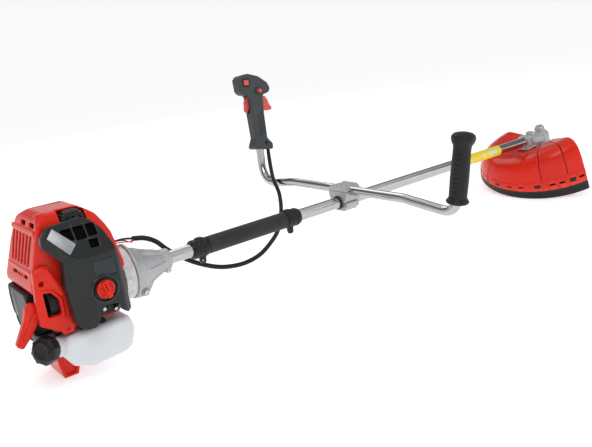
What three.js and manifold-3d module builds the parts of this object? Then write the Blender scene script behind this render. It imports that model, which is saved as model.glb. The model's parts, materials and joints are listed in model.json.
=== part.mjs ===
// Petrol string trimmer: engine, straight drive tube, wide handlebar and guarded line head.
// Units are millimetres. X runs forward along the drive tube, Y is left and Z is up.
// While it is built, the tube's axis is Y = Z = 0 and X = 0 is the clutch housing's rear face.
import * as THREE from "three";
import { mergeVertices } from "three/addons/utils/BufferGeometryUtils.js";
import Module from "manifold-3d";

const wasm = await Module();
wasm.setup();

// ---------- driving dimensions ----------
const GAP = 0.3; // between pieces that touch
const RUN = 0.6; // between pieces that move past each other

const TUBE_R = 14;
const TUBE_BORE_R = 12.5;
const TUBE_START_X = 48.5;
const TUBE_END_X = 1396;
const SHAFT_R = 4;
const GRIP_START_X = 188;
const GRIP_END_X = 398;
const RING_LENGTH = 39; // strap rings, one at each end of the foam grip

const HEAD_X = 1432; // where the output axis crosses the tube's axis
const HEAD_TILT = THREE.MathUtils.degToRad(16); // output axis, away from square to the tube
const GUARD_R = 207;
const GUARD_DROP = 102; // from the tube's axis to the skirt's edge, along the output axis
const GUARD_TAPER = 0.0018; // how much deeper the guard gets for each mm towards its right side
const GUARD_TAPER_Z = -51; // the height that the taper leaves alone

const CYLINDER_X = -85;
const STARTER_R = 73.5;
const STARTER_TOP_Z = 30; // the shroud covers the housing's back above this height
const COVER_BACK_Y = -84;
const COVER_FACE_Y = -125;
const SHROUD_RIGHT_Y = -74;
const SHROUD_LEFT_Y = 77;
const WALL = 4;

const BAR_R = 11;
const BAR_X = 590;
const BAR_Z = 27.5;
const BAR_MID_Y = 196;
const BAR_CORNER_Y = 344;
const BAR_CORNER_Z = 10;
const BAR_LEAN = 0.104; // the uprights' sideways slope
const BAR_PITCH = 0.0965; // the uprights' forward slope
const UPRIGHT_RIGHT = 164; // height of each upright above its corner
const UPRIGHT_LEFT = 176;
const BAR_BENDS = [38, 90, 90, 66]; // radii of the bends, from the right upright to the left one

const SLEEVE_R = 5.5;
const CABLE_R = 2.2;
const WIRE_R = 1.2;

// ---------- materials ----------
function material(color, roughness, metalness = 0) {
  return new THREE.MeshStandardMaterial({ color, roughness, metalness });
}
const RED = material(0xc81e14, 0.35);
const CHARCOAL = material(0x373c3c, 0.5);
const BLACK = material(0x161717, 0.6);
const HANDLE_GREY = material(0x4b5053, 0.55);
const TANK_WHITE = material(0xe6e8e6, 0.4);
const CAST = material(0xb4b7b9, 0.5, 0.9);
const POLISHED = material(0xcdcfd0, 0.25, 1);
const STEEL = material(0x8d9092, 0.35, 1);
const RUBBER = material(0x1b1b1b, 0.85);
const YELLOW = material(0xe9d31c, 0.5);
const BRASS = material(0xb08d45, 0.4, 1);
const PAPER = material(0xd9cfae, 0.9);
const NYLON = material(0xd8c23a, 0.45);

// ---------- solids ----------
function solid(geometry) {
  const plain = new THREE.BufferGeometry();
  const source = geometry.index ? geometry.toNonIndexed() : geometry;
  plain.setAttribute("position", source.getAttribute("position"));
  const merged = mergeVertices(plain, 1e-3);
  return new wasm.Manifold(
    new wasm.Mesh({
      numProp: 3,
      vertProperties: merged.getAttribute("position").array,
      triVerts: new Uint32Array(merged.index.array),
    }),
  );
}

function geometryOf(body) {
  const mesh = body.getMesh();
  const indexed = new THREE.BufferGeometry();
  const positions = new THREE.BufferAttribute(new Float32Array(mesh.vertProperties), 3);
  indexed.setAttribute("position", positions);
  indexed.setIndex(new THREE.BufferAttribute(new Uint32Array(mesh.triVerts), 1));
  const flat = indexed.toNonIndexed();
  flat.computeVertexNormals();
  return flat;
}

function join(first, ...others) {
  return others.reduce((body, other) => body.add(other), first);
}

function cut(first, ...others) {
  return others.reduce((body, other) => body.subtract(other), first);
}

function common(first, second) {
  return first.intersect(second);
}

// Box from its lowest to its highest corner.
function box(x0, x1, y0, y1, z0, z1) {
  const geometry = new THREE.BoxGeometry(x1 - x0, y1 - y0, z1 - z0);
  geometry.translate((x0 + x1) / 2, (y0 + y1) / 2, (z0 + z1) / 2);
  return solid(geometry);
}

// Turns a geometry's own axes (a, b, c) onto world directions.
function orient(geometry, a, b, c) {
  const basis = new THREE.Matrix4().makeBasis(
    new THREE.Vector3(...a),
    new THREE.Vector3(...b),
    new THREE.Vector3(...c),
  );
  return geometry.applyMatrix4(basis);
}

const LATHE_SIDES = 16;

// Lathe of a list of [height, radius] points, closed on its axis, along X, Y or Z.
function lathe(axis, profile, { x = 0, y = 0, z = 0, sides = LATHE_SIDES } = {}) {
  const points = profile.map(([height, radius]) => new THREE.Vector2(radius, height));
  const geometry = new THREE.LatheGeometry(points, sides);
  if (axis === "x") orient(geometry, [0, 1, 0], [1, 0, 0], [0, 0, -1]);
  if (axis === "y") orient(geometry, [1, 0, 0], [0, 1, 0], [0, 0, 1]);
  if (axis === "z") orient(geometry, [1, 0, 0], [0, 0, 1], [0, -1, 0]);
  geometry.translate(x, y, z);
  const body = solid(geometry);
  return body.volume() < 0 ? solid(flipped(geometry)) : body;
}

function flipped(geometry) {
  const turned = geometry.toNonIndexed();
  const array = turned.getAttribute("position").array;
  for (let i = 0; i < array.length; i += 9) {
    for (let k = 0; k < 3; k++) {
      [array[i + 3 + k], array[i + 6 + k]] = [array[i + 6 + k], array[i + 3 + k]];
    }
  }
  return turned;
}

function rod(axis, radius, from, to, place) {
  return lathe(axis, [[from, 0], [from, radius], [to, radius], [to, 0]], place);
}

function ring(axis, outer, inner, from, to, place) {
  return cut(rod(axis, outer, from, to, place), rod(axis, inner, from - 1, to + 1, place));
}

// The same outline moved inwards by a distance.
function shrunk(outline, distance) {
  const corners = outline.map(([a, b]) => new THREE.Vector2(a, b));
  const inwards = THREE.ShapeUtils.area(corners) > 0 ? 1 : -1;
  return corners.map((corner, i) => {
    const before = corners[(i + corners.length - 1) % corners.length];
    const after = corners[(i + 1) % corners.length];
    const edgeIn = corner.clone().sub(before).normalize();
    const edgeOut = after.clone().sub(corner).normalize();
    const normalIn = new THREE.Vector2(-edgeIn.y, edgeIn.x).multiplyScalar(inwards);
    const normalOut = new THREE.Vector2(-edgeOut.y, edgeOut.x).multiplyScalar(inwards);
    const miter = normalIn.clone().add(normalOut);
    const reach = distance / (1 + normalIn.dot(normalOut));
    return [corner.x + miter.x * reach, corner.y + miter.y * reach];
  });
}

// Outline of [a, b] points pushed along an axis, with optional rounded ends and an inset.
function prism(axis, outline, from, to, { round = 0, inset = 0, roundSteps = 2 } = {}) {
  const edge = shrunk(outline, inset);
  const shape = new THREE.Shape(edge.map(([a, b]) => new THREE.Vector2(a, b)));
  const geometry = new THREE.ExtrudeGeometry(shape, {
    depth: to - from - 2 * round,
    bevelEnabled: round > 0,
    bevelThickness: round,
    bevelSize: round,
    bevelOffset: -round,
    bevelSegments: roundSteps,
    curveSegments: 6,
  });
  if (axis === "y") {
    orient(geometry, [1, 0, 0], [0, 0, 1], [0, -1, 0]);
    geometry.translate(0, to - round, 0);
  }
  if (axis === "x") {
    orient(geometry, [0, 1, 0], [0, 0, 1], [1, 0, 0]);
    geometry.translate(from + round, 0, 0);
  }
  if (axis === "z") geometry.translate(0, 0, from + round);
  return solid(geometry);
}

// Round bar along a path of straight runs with rounded corners.
function bentPath(points, bends) {
  const path = new THREE.CurvePath();
  let start = points[0];
  for (let i = 1; i < points.length - 1; i++) {
    const bend = bends[i - 1];
    const corner = points[i];
    const before = corner.clone().sub(points[i - 1]).normalize();
    const after = points[i + 1].clone().sub(corner).normalize();
    const reach = bend * Math.tan(before.angleTo(after) / 2);
    const enter = corner.clone().addScaledVector(before, -reach);
    const leave = corner.clone().addScaledVector(after, reach);
    path.add(new THREE.LineCurve3(start, enter));
    path.add(new THREE.QuadraticBezierCurve3(enter, corner, leave));
    start = leave;
  }
  path.add(new THREE.LineCurve3(start, points[points.length - 1]));
  return path;
}

function sweep(path, radius, steps, sides = 12) {
  const section = new THREE.Shape();
  for (let i = 0; i < sides; i++) {
    const angle = (i / sides) * 2 * Math.PI;
    const point = [radius * Math.cos(angle), radius * Math.sin(angle)];
    if (i === 0) section.moveTo(...point);
    else section.lineTo(...point);
  }
  section.closePath();
  return solid(
    new THREE.ExtrudeGeometry(section, { steps, extrudePath: path, bevelEnabled: false }),
  );
}

function curveThrough(points) {
  return new THREE.CatmullRomCurve3(points.map((p) => new THREE.Vector3(...p)), false, "centripetal");
}

// ---------- scene graph ----------
const trimmer = new THREE.Group();
const throttleGroup = new THREE.Group();
const headGroup = new THREE.Group();
trimmer.add(throttleGroup, headGroup);

function add(name, body, surface, group = trimmer) {
  const mesh = new THREE.Mesh(geometryOf(body), surface.clone());
  mesh.name = name;
  group.add(mesh);
  return mesh;
}

// ---------- clutch housing and its drum ----------
function buildClutch() {
  const outside = [
    [0.3, 0], [0.3, 56], [7, 56], [9, 47], [24, 42], [42, 33], [64, 28],
    [80, 21], [95, 19], [95, 0],
  ];
  const footLug = box(10, 34, -9, 9, -60, -38);
  const neckLug = box(80, 94, -7, 7, -27, -16);
  const shell = join(lathe("x", outside, { sides: 24 }), footLug, neckLug);
  const boltHead = rod("y", 5, -12, -6, { x: 87, z: -22, sides: 6 });
  const housing = cut(
    join(shell, boltHead),
    rod("x", 36, -1, 27),
    rod("x", 9 + GAP, 20, 60),
    rod("x", TUBE_R + GAP, 48, 120),
  );
  add("clutch_housing", housing, CAST);

  const cup = cut(
    join(rod("x", 33, 3, 25.5), rod("x", 9, 25, 46)),
    rod("x", 30.5, 0, 22.5),
    rod("x", SHAFT_R + GAP, 29, 60),
  );
  add("clutch_drum", cup, STEEL);
  const shoes = cut(
    rod("x", 29.4, 5, 20),
    rod("x", 6 + GAP, 0, 30),
    box(0, 30, -2, 2, 9, 40),
    box(0, 30, -2, 2, -40, -9),
  );
  add("clutch_shoes", shoes, STEEL);
}

// ---------- engine ----------
const CRANK_SPAN = [-152, 19];
const PIN_OFFSET = 13;

function buildEngineCore() {
  const casing = join(
    prism("x", [[-34, -30], [-22, -42], [22, -42], [34, -30], [34, 34], [-34, 34]], -118, -5.4),
    rod("x", 53, -22, -GAP),
  );
  const crankcase = cut(
    casing,
    rod("x", 27, -106, -60),
    rod("x", 6 + GAP, -140, 5),
    rod("z", 18.3, 0, 60, { x: CYLINDER_X }),
  );
  add("crankcase", crankcase, CAST);

  const crank = join(
    rod("x", 6, CRANK_SPAN[0], -96),
    rod("x", 24, -102, -92),
    rod("x", 5, -94, -76, { z: PIN_OFFSET, sides: 10 }),
    rod("x", 24, -78, -68),
    rod("x", 6, -74, CRANK_SPAN[1]),
  );
  add("crankshaft", crank, STEEL);

  const vanes = [];
  const vaneCount = 10;
  for (let i = 0; i < vaneCount; i++) {
    const geometry = new THREE.BoxGeometry(9, 3, 24);
    geometry.translate(-138, 0, 34);
    geometry.rotateX((i / vaneCount) * 2 * Math.PI);
    vanes.push(solid(geometry));
  }
  const wheel = join(rod("x", 48, -134, -124), rod("x", 14, -142, -134), ...vanes);
  add("flywheel_fan", cut(wheel, rod("x", 6 + GAP, -160, -110)), CAST);

  const fins = [];
  for (let z = 50; z <= 110; z += 12) {
    fins.push(box(CYLINDER_X - 36, CYLINDER_X + 36, -34, 34, z, z + 3));
  }
  const barrel = join(rod("z", 23, 34 + GAP, 122, { x: CYLINDER_X }), ...fins);
  const cylinder = cut(
    barrel,
    rod("z", 17.5, 20, 104, { x: CYLINDER_X }),
    rod("z", 5.3, 100, 130, { x: CYLINDER_X }),
    rod("y", 7, -60, -10, { x: CYLINDER_X, z: 64 }),
    rod("y", 8, 10, 60, { x: CYLINDER_X, z: 64 }),
  );
  add("cylinder", cylinder, CAST);

  const crown = cut(
    rod("z", 17.2, 74, 100, { x: CYLINDER_X }),
    rod("z", 13.5, 70, 95, { x: CYLINDER_X }),
  );
  const gudgeon = rod("y", 4, -15, 15, { x: CYLINDER_X, z: 82 });
  add("piston", join(crown, gudgeon), CAST);

  const plug = join(
    rod("z", 5, 101, 123, { x: CYLINDER_X }),
    rod("z", 9.5, 122 + GAP, 130, { x: CYLINDER_X, sides: 6 }),
    rod("z", 5, 129, 146, { x: CYLINDER_X }),
  );
  add("spark_plug", plug, STEEL);
  add("ignition_coil", box(-142, -124, -16, 16, 54, 78), BLACK);
}

function buildIntakeAndExhaust() {
  const bodyY = [-72, -36];
  const carburettor = cut(
    join(
      box(-106, -64, bodyY[0], bodyY[1], 46, 84),
      rod("x", 13, -64, -56, { y: -54, z: 62 }),
    ),
    rod("y", 8, -90, -20, { x: CYLINDER_X, z: 64 }),
  );
  add("carburettor", carburettor, CAST);

  add("filter_element", box(-134, -66, -104, COVER_BACK_Y, 50, 92), PAPER);

  const silencerSide = [[-124, 46], [-52, 46], [-46, 54], [-46, 84], [-58, 100], [-118, 100]];
  const silencer = join(
    prism("y", silencerSide, 38, 64, { round: 5, roundSteps: 1 }),
    rod("y", 7.5, 35, 40, { x: CYLINDER_X, z: 64 }),
  );
  add("muffler", cut(silencer, rod("x", 5, -60, -30, { y: 51, z: 70 })), STEEL);
}

// ---------- engine covers ----------
const SHROUD_SIDE = [
  [-52, -46], [-52, 26], [-28, 34], [-28, 47], [-35, 81], [-41, 107], [-50, 126], [-64, 148],
  [-86, 165], [-152, 166],
  [-167, 157], [-201, 44], [-201, 34], [-190, 28], [-190, -24], [-176, -46],
];
// The shroud seen from behind: its far shoulder falls away to the left.
const SHROUD_END = [
  [-74, -60], [-74, 148], [-62, 170], [18, 170], [50, 152], [68, 112], [77, 56], [77, -60],
];
const PLUG_COVER = { x0: -127, x1: -83, y0: -77, y1: -47, z0: 138, z1: 163 };
const CABLE_ENTRY = { y: 19, z: 60 };

function buildShroud() {
  const length = [-240, 20];
  const outer = common(
    prism("y", SHROUD_SIDE, SHROUD_RIGHT_Y, SHROUD_LEFT_Y, { round: 9, roundSteps: 2 }),
    prism("x", SHROUD_END, ...length),
  );
  const hollow = common(
    prism("y", SHROUD_SIDE, SHROUD_RIGHT_Y + WALL, SHROUD_LEFT_Y - WALL, { inset: WALL }),
    prism("x", SHROUD_END, ...length, { inset: WALL }),
  );
  const openings = [
    rod("x", STARTER_R + GAP, -189.4, -150),
    common(rod("x", STARTER_R + GAP, -220, -180), box(-220, -180, -90, 90, -90, STARTER_TOP_Z + GAP)),
    rod("x", 57, -60, 20),
    rod("x", 5, -40, 20, CABLE_ENTRY),
    box(-112, -56, -90, -60, 36, 98),
    box(-186, -163, -90, -60, -12, 34),
    box(-150, -30, -60, 70, -60, -38),
    box(
      PLUG_COVER.x0 - GAP, PLUG_COVER.x1 + GAP, PLUG_COVER.y0 - GAP, PLUG_COVER.y1 + GAP,
      PLUG_COVER.z0 - 2, 220,
    ),
  ];
  for (let i = 0; i < 6; i++) {
    const y = -46 + i * 17;
    openings.push(box(-220, -160, y, y + 9, 76, 134));
  }
  for (const y of [-30, 20]) {
    openings.push(box(-220, -150, y - 24, y - 8, 142, 151));
  }
  for (let i = 0; i < 4; i++) {
    const x = -128 + i * 20;
    openings.push(box(x, x + 11, 60, 110, 50, 92));
  }
  add("engine_shroud", cut(cut(outer, hollow), ...openings), RED);

  const cap = PLUG_COVER;
  const capOutline = [
    [cap.x0, cap.y0 + 8], [cap.x0 + 8, cap.y0], [cap.x1 - 8, cap.y0], [cap.x1, cap.y0 + 8],
    [cap.x1, cap.y1 - 8], [cap.x1 - 8, cap.y1], [cap.x0 + 8, cap.y1], [cap.x0, cap.y1 - 8],
  ];
  add("plug_cover", prism("z", capOutline, cap.z0, cap.z1, { round: 3, roundSteps: 1 }), BLACK);
}

const FRAME_OUTLINE = [
  [-190, 84], [-168, 80], [-143, 18], [-146, -48], [-168, -44], [-202, -26], [-193, 20],
];
const FRAME_WINDOW = [[-181, 38], [-160, 20], [-162, -14], [-188, -12]];

function buildSideFrame() {
  const outer = prism("y", FRAME_OUTLINE, COVER_BACK_Y + GAP, SHROUD_RIGHT_Y - GAP);
  const window = prism("y", FRAME_WINDOW, -100, -60);
  add("side_frame", cut(outer, window, rod("y", 4, -100, -60, { x: -180, z: 58 })), RED);
}

const COVER_OUTLINE = [
  [-160, 148], [-174, 132], [-176, 118], [-150, 86], [-153, 38], [-150, -17], [-147, -34],
  [-134, -41], [-121, -40], [-112, -29], [-108, -13], [-93, -6], [-73, -10], [-67, -26],
  [-57, -34], [-47, -30], [-50, 13], [-53, 72], [-60, 99], [-68, 124], [-84, 144], [-100, 152],
];
// The cover seen from above: its face curves back into the side walls.
const COVER_PLAN = [
  [-182, -80], [-177, -96], [-152, -108], [-143, -117], [-128, -125], [-62, -125], [-46, -112],
  [-40, -80],
];
const KNOB = { x: -93, z: 24, r: 16.5 };
const LABEL_RECESS = { x0: -108, x1: -70, z0: 52, z1: 82 };

function buildAirCover() {
  const outer = common(
    prism("y", COVER_OUTLINE, COVER_FACE_Y, COVER_BACK_Y, { round: 3, roundSteps: 1 }),
    prism("z", COVER_PLAN, -60, 170),
  );
  const hollow = common(
    prism("y", COVER_OUTLINE, COVER_FACE_Y + WALL, COVER_BACK_Y + 20, { inset: WALL }),
    prism("z", [...shrunk(COVER_PLAN, WALL), [-44, -50], [-178, -50]], -60, 170),
  );
  const slope = [[-190, 92], [-122, 92], [-84, 158], [-84, 200], [-190, 200]];
  const slopeCut = prism("x", slope, -260, 0);
  const innerSlope = slope.map(([y, z]) => [y + WALL, z - WALL / 2]);
  const room = cut(hollow, prism("x", innerSlope, -260, 0));
  const vents = [];
  for (let i = 0; i < 3; i++) {
    const x = -136 + i * 21;
    vents.push(box(x - 2, x + 15, -130, -80, 108, 141));
  }
  const label = LABEL_RECESS;
  const cover = cut(
    outer,
    slopeCut,
    room,
    ...vents,
    box(label.x0, label.x1, COVER_FACE_Y - 2, COVER_FACE_Y + 1.2, label.z0, label.z1),
    rod("y", 4, -140, -60, KNOB),
  );
  const knobRing = ring("y", 25, 21, COVER_FACE_Y - 3, COVER_FACE_Y + 1, { x: KNOB.x, z: KNOB.z });
  add("air_filter_cover", join(cover, knobRing), CHARCOAL);

  const knob = join(
    rod("y", KNOB.r, COVER_FACE_Y - 6, COVER_FACE_Y - RUN, { x: KNOB.x, z: KNOB.z }),
    box(KNOB.x - 4, KNOB.x + 4, COVER_FACE_Y - 13, COVER_FACE_Y - 5, KNOB.z - 16, KNOB.z + 16),
    rod("y", 2.8, COVER_FACE_Y - 2, -75, { x: KNOB.x, z: KNOB.z }),
  );
  add("cover_knob", knob, RED);
}

// ---------- recoil starter ----------
const STARTER_BACK_X = -208;
const GRIP_POCKET = { x: -177, y: -46, z0: -46, z1: 60 };
const ROPE = {
  from: new THREE.Vector3(-184, -60, 24),
  along: new THREE.Vector3(-0.59, 0, -0.807).normalize(),
  r: 2,
};

function ropeFrame(body, start = ROPE.from) {
  const turn = new THREE.Quaternion().setFromUnitVectors(new THREE.Vector3(0, 0, 1), ROPE.along);
  const matrix = new THREE.Matrix4().compose(start, turn, new THREE.Vector3(1, 1, 1));
  return solid(geometryOf(body).applyMatrix4(matrix));
}

function buildStarter() {
  const dish = lathe("x", [
    [-160, 0], [-160, STARTER_R], [-197, STARTER_R], [-205, 70], [STARTER_BACK_X, 60],
    [STARTER_BACK_X, 0],
  ]);
  const inside = lathe("x", [
    [-150, 0], [-150, STARTER_R - 3], [-196, STARTER_R - 3], [-205, 58], [-205, 0],
  ]);
  const pocket = GRIP_POCKET;
  const pocketOuter = box(-230, pocket.x, -90, pocket.y, pocket.z0, pocket.z1);
  const pocketWall = common(
    dish,
    box(-230, pocket.x + 3, -90, pocket.y + 3, pocket.z0 - 3, pocket.z1 + 3),
  );
  const post = rod("x", 6, -206, -166);
  const plateSeat = box(-215, STARTER_BACK_X + 1.1, 14, 46, -28, 24);
  const shell = join(cut(dish, inside, plateSeat), pocketWall, post);
  const ropeHole = ropeFrame(rod("z", ROPE.r + 1, -40, 30, { sides: 8 }));
  const underShroud = box(-230, -189, -90, 90, STARTER_TOP_Z, 90);
  const lid = common(dish, box(-192, -189, -90, 90, STARTER_TOP_Z - 3, 90));
  const closing = common(dish, box(-230, -189, -90, 90, STARTER_TOP_Z - 3, STARTER_TOP_Z));
  const housing = cut(join(cut(shell, underShroud), closing, cut(lid, underShroud)), pocketOuter, ropeHole);
  add("starter_housing", housing, CHARCOAL);

  const pulley = cut(
    join(rod("x", 30, -184, -180), rod("x", 24, -181, -173), rod("x", 30, -174, -170)),
    rod("x", 6 + RUN, -200, -160),
  );
  add("recoil_pulley", pulley, BLACK);

  const ropeBody = ropeFrame(rod("z", ROPE.r, -16, 20, { sides: 8 }));
  add("starter_rope", ropeBody, RUBBER);
}

function buildStarterGrip() {
  const outline = [
    [-3, 13], [15, 15], [20, 28], [13, 50], [7, 94], [-6, 95], [-11, 64], [-11, 42], [-8, 24],
  ];
  const paddle = prism("y", outline, -9, 9, { round: 4, roundSteps: 2 });
  const bored = cut(paddle, rod("z", ROPE.r + GAP, 0, 22, { sides: 8 }));
  add("starter_grip", ropeFrame(bored), RED);
}

// ---------- fuel tank and foot ----------
const TANK_OUTLINE = [
  [-160, -54], [-172, -64], [-176, -84], [-162, -112], [-127, -126], [-62, -121], [-47, -113],
  [-38, -80], [-44, -52],
];
const CAP_AXIS = new THREE.Vector3(-0.8, -0.53, 0.28).normalize();
const CAP_FROM = new THREE.Vector3(-181, -68, -72);

function capFrame(body) {
  const turn = new THREE.Quaternion().setFromUnitVectors(new THREE.Vector3(0, 0, 1), CAP_AXIS);
  const matrix = new THREE.Matrix4().compose(CAP_FROM, turn, new THREE.Vector3(1, 1, 1));
  return solid(geometryOf(body).applyMatrix4(matrix));
}

function buildTank() {
  const shape = { round: 14, roundSteps: 2 };
  const blank = prism("y", TANK_OUTLINE, -92, 88, shape);
  const capRoom = capFrame(rod("z", 29, 15, 70));
  const outer = cut(blank, rod("x", STARTER_R + 2, -220, -157), capRoom);
  const hollow = cut(
    prism("y", TANK_OUTLINE, -89, 85, { round: 12, inset: 3, roundSteps: 1 }),
    rod("x", STARTER_R + 5, -220, -154),
    capFrame(rod("z", 32, 12, 70)),
  );
  const neck = capFrame(rod("z", 19, -30, 24));
  const mouth = capFrame(rod("z", 15.5, -50, 60));
  add("fuel_tank", cut(join(cut(outer, hollow), neck), mouth), TANK_WHITE);

  const lobes = [];
  const lobeCount = 8;
  for (let i = 0; i < lobeCount; i++) {
    const angle = (i / lobeCount) * 2 * Math.PI;
    const place = { x: 23 * Math.cos(angle), y: 23 * Math.sin(angle), sides: 6 };
    lobes.push(rod("z", 3.5, 20, 39, place));
  }
  const cap = cut(join(rod("z", 24, 18, 41), ...lobes), rod("z", 19 + 2 * RUN, 10, 24 + GAP));
  const spigot = rod("z", 15, 10, 30);
  add("fuel_cap", capFrame(join(cap, spigot)), BLACK);
}

function buildFoot(floorZ) {
  const side = [
    [-174, -108], [-166, floorZ], [-138, floorZ], [-126, -122], [-130, -120], [-143, floorZ + 5],
    [-161, floorZ + 5], [-168, -108],
  ];
  const runner = prism("y", side, -20, 54);
  const rib = prism("y", [[-169, -108], [-162, floorZ + 4], [-142, floorZ + 4], [-128, -119]], 10, 16);
  const clearance = prism("y", TANK_OUTLINE, -100, 100, { inset: -0.5 });
  add("foot_stand", cut(join(runner, rib), clearance), RED);
}

// ---------- drive tube, grip and label ----------
function buildTube() {
  add("drive_tube", ring("x", TUBE_R, TUBE_BORE_R, TUBE_START_X, TUBE_END_X), POLISHED);
  add("drive_shaft", rod("x", SHAFT_R, 30, 1409, { sides: 16 }), STEEL);
  const bush = ring("x", TUBE_BORE_R - GAP, SHAFT_R + GAP, 700, 724, { sides: 16 });
  add("shaft_bush", bush, BRASS);
  add("foam_grip", ring("x", 19, TUBE_R + GAP, GRIP_START_X, GRIP_END_X), RUBBER);
  const rings = [
    ["strap_ring_rear", GRIP_START_X - GAP - RING_LENGTH, 22],
    ["strap_ring_front", GRIP_END_X + GAP, 10],
  ];
  for (const [name, x, lugX] of rings) {
    const steps = [
      [x, 0], [x, 19], [x + 8, 21], [x + 20, 19.5], [x + 32, 21], [x + RING_LENGTH, 18.5],
      [x + RING_LENGTH, 0],
    ];
    const lug = box(x + lugX - 7, x + lugX + 7, -8, -1, -34, -14);
    const eye = rod("y", 3.5, -20, 20, { x: x + lugX, z: -28, sides: 12 });
    const bore = rod("x", TUBE_R + GAP, x - 5, x + RING_LENGTH + 5);
    add(name, cut(join(lathe("x", steps), lug), bore, eye), BLACK);
  }
  add("warning_label", ring("x", TUBE_R + 0.8, TUBE_R + GAP, 1050, 1206), YELLOW);
}

// ---------- handlebar and its clamp ----------
function uprightPoint(side, height) {
  return new THREE.Vector3(
    BAR_X + BAR_PITCH * height,
    side * (BAR_CORNER_Y + BAR_LEAN * height),
    BAR_CORNER_Z + height,
  );
}

function barPath() {
  return bentPath(
    [
      uprightPoint(-1, UPRIGHT_RIGHT),
      uprightPoint(-1, 0),
      new THREE.Vector3(BAR_X, -BAR_MID_Y, BAR_Z),
      new THREE.Vector3(BAR_X, BAR_MID_Y, BAR_Z),
      uprightPoint(1, 0),
      uprightPoint(1, UPRIGHT_LEFT),
    ],
    BAR_BENDS,
  );
}

function buildHandlebar() {
  add("handlebar", sweep(barPath(), BAR_R, 54, 8), POLISHED);
  const tubeBore = rod("x", TUBE_R + GAP, 500, 700);
  const barBore = rod("y", BAR_R + GAP, -60, 60, { x: BAR_X, z: BAR_Z });
  const low = [[-28, -GAP], [-28, -10], [-14, -22], [14, -22], [28, -10], [28, -GAP]];
  const middle = [[-32, GAP], [32, GAP], [32, BAR_Z - GAP], [-32, BAR_Z - GAP]];
  const high = [
    [-32, BAR_Z + GAP], [32, BAR_Z + GAP], [32, BAR_Z + 7], [20, BAR_Z + 14],
    [-20, BAR_Z + 14], [-32, BAR_Z + 7],
  ];
  const screws = [];
  for (const x of [BAR_X - 18, BAR_X + 18]) {
    for (const y of [-17, 17]) {
      screws.push(rod("z", 4.5, BAR_Z + 6, BAR_Z + 16, { x, y, sides: 8 }));
    }
  }
  const lower = prism("x", low, BAR_X - 20, BAR_X + 20);
  const block = prism("x", middle, BAR_X - 24, BAR_X + 24);
  const cap = join(prism("x", high, BAR_X - 24, BAR_X + 24), ...screws);
  add("bar_clamp_lower", cut(lower, tubeBore), CAST);
  add("bar_clamp_block", cut(block, tubeBore, barBore), CAST);
  add("bar_clamp_cap", cut(cap, barBore), CAST);
  const bush = ring("x", 18, TUBE_R + GAP, BAR_X - 29, BAR_X - 24 - GAP);
  add("tube_bush", bush, RUBBER);
}

// A group whose own Z axis runs up an upright of the handlebar, with its origin at a height.
function standOnUpright(group, side, height) {
  group.position.copy(uprightPoint(side, height));
  const up = uprightPoint(side, 1).sub(uprightPoint(side, 0)).normalize();
  const forward = new THREE.Vector3(1, 0, 0).addScaledVector(up, -up.x).normalize();
  const left = new THREE.Vector3().crossVectors(up, forward);
  group.quaternion.setFromRotationMatrix(new THREE.Matrix4().makeBasis(forward, left, up));
}

function buildPlainGrip() {
  const group = new THREE.Group();
  trimmer.add(group);
  const base = 22;
  standOnUpright(group, -1, base);
  const profile = [
    [0, 0], [0, 21], [5, 24.5], [10, 21], [16, 19.2], [125, 19], [134, 24], [141, 25.5],
    [147, 21], [150, 0],
  ];
  const bore = rod("z", BAR_R + 1, -10, UPRIGHT_RIGHT - base + 3);
  const mouth = lathe("z", [[-5, 0], [-5, 18], [14, BAR_R + 1], [14, 0]]);
  add("plain_grip", cut(lathe("z", profile), bore, mouth), RUBBER, group);
}

// ---------- throttle handle ----------
const THROTTLE_BASE = 108; // height of the handle's base above the bar's left corner
const HANDLE_OUTLINE = [
  [-32, -10], [38, -16], [37, 2], [21, 18], [19, 88], [21, 138], [42, 144], [49, 156],
  [40, 172], [12, 190], [-22, 198], [-48, 193], [-57, 184], [-54, 150], [-44, 141], [-26, 139],
  [-21, 60], [-18, 20],
];
const HANDLE_HALF = 17;
const TRIGGER_PIVOT = { x: 15, z: 132 };
const TRIGGER_OUTLINE = [
  [22, 133], [33, 136], [41, 126], [46, 113], [54, 101], [51, 96], [38, 94], [19, 98],
];
const LEVER_PIVOT = { x: -19, z: 134 };
const ROCKER = { x: -32, z: 173 };
const BUTTON = { x: 6, z: 149 };

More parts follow.
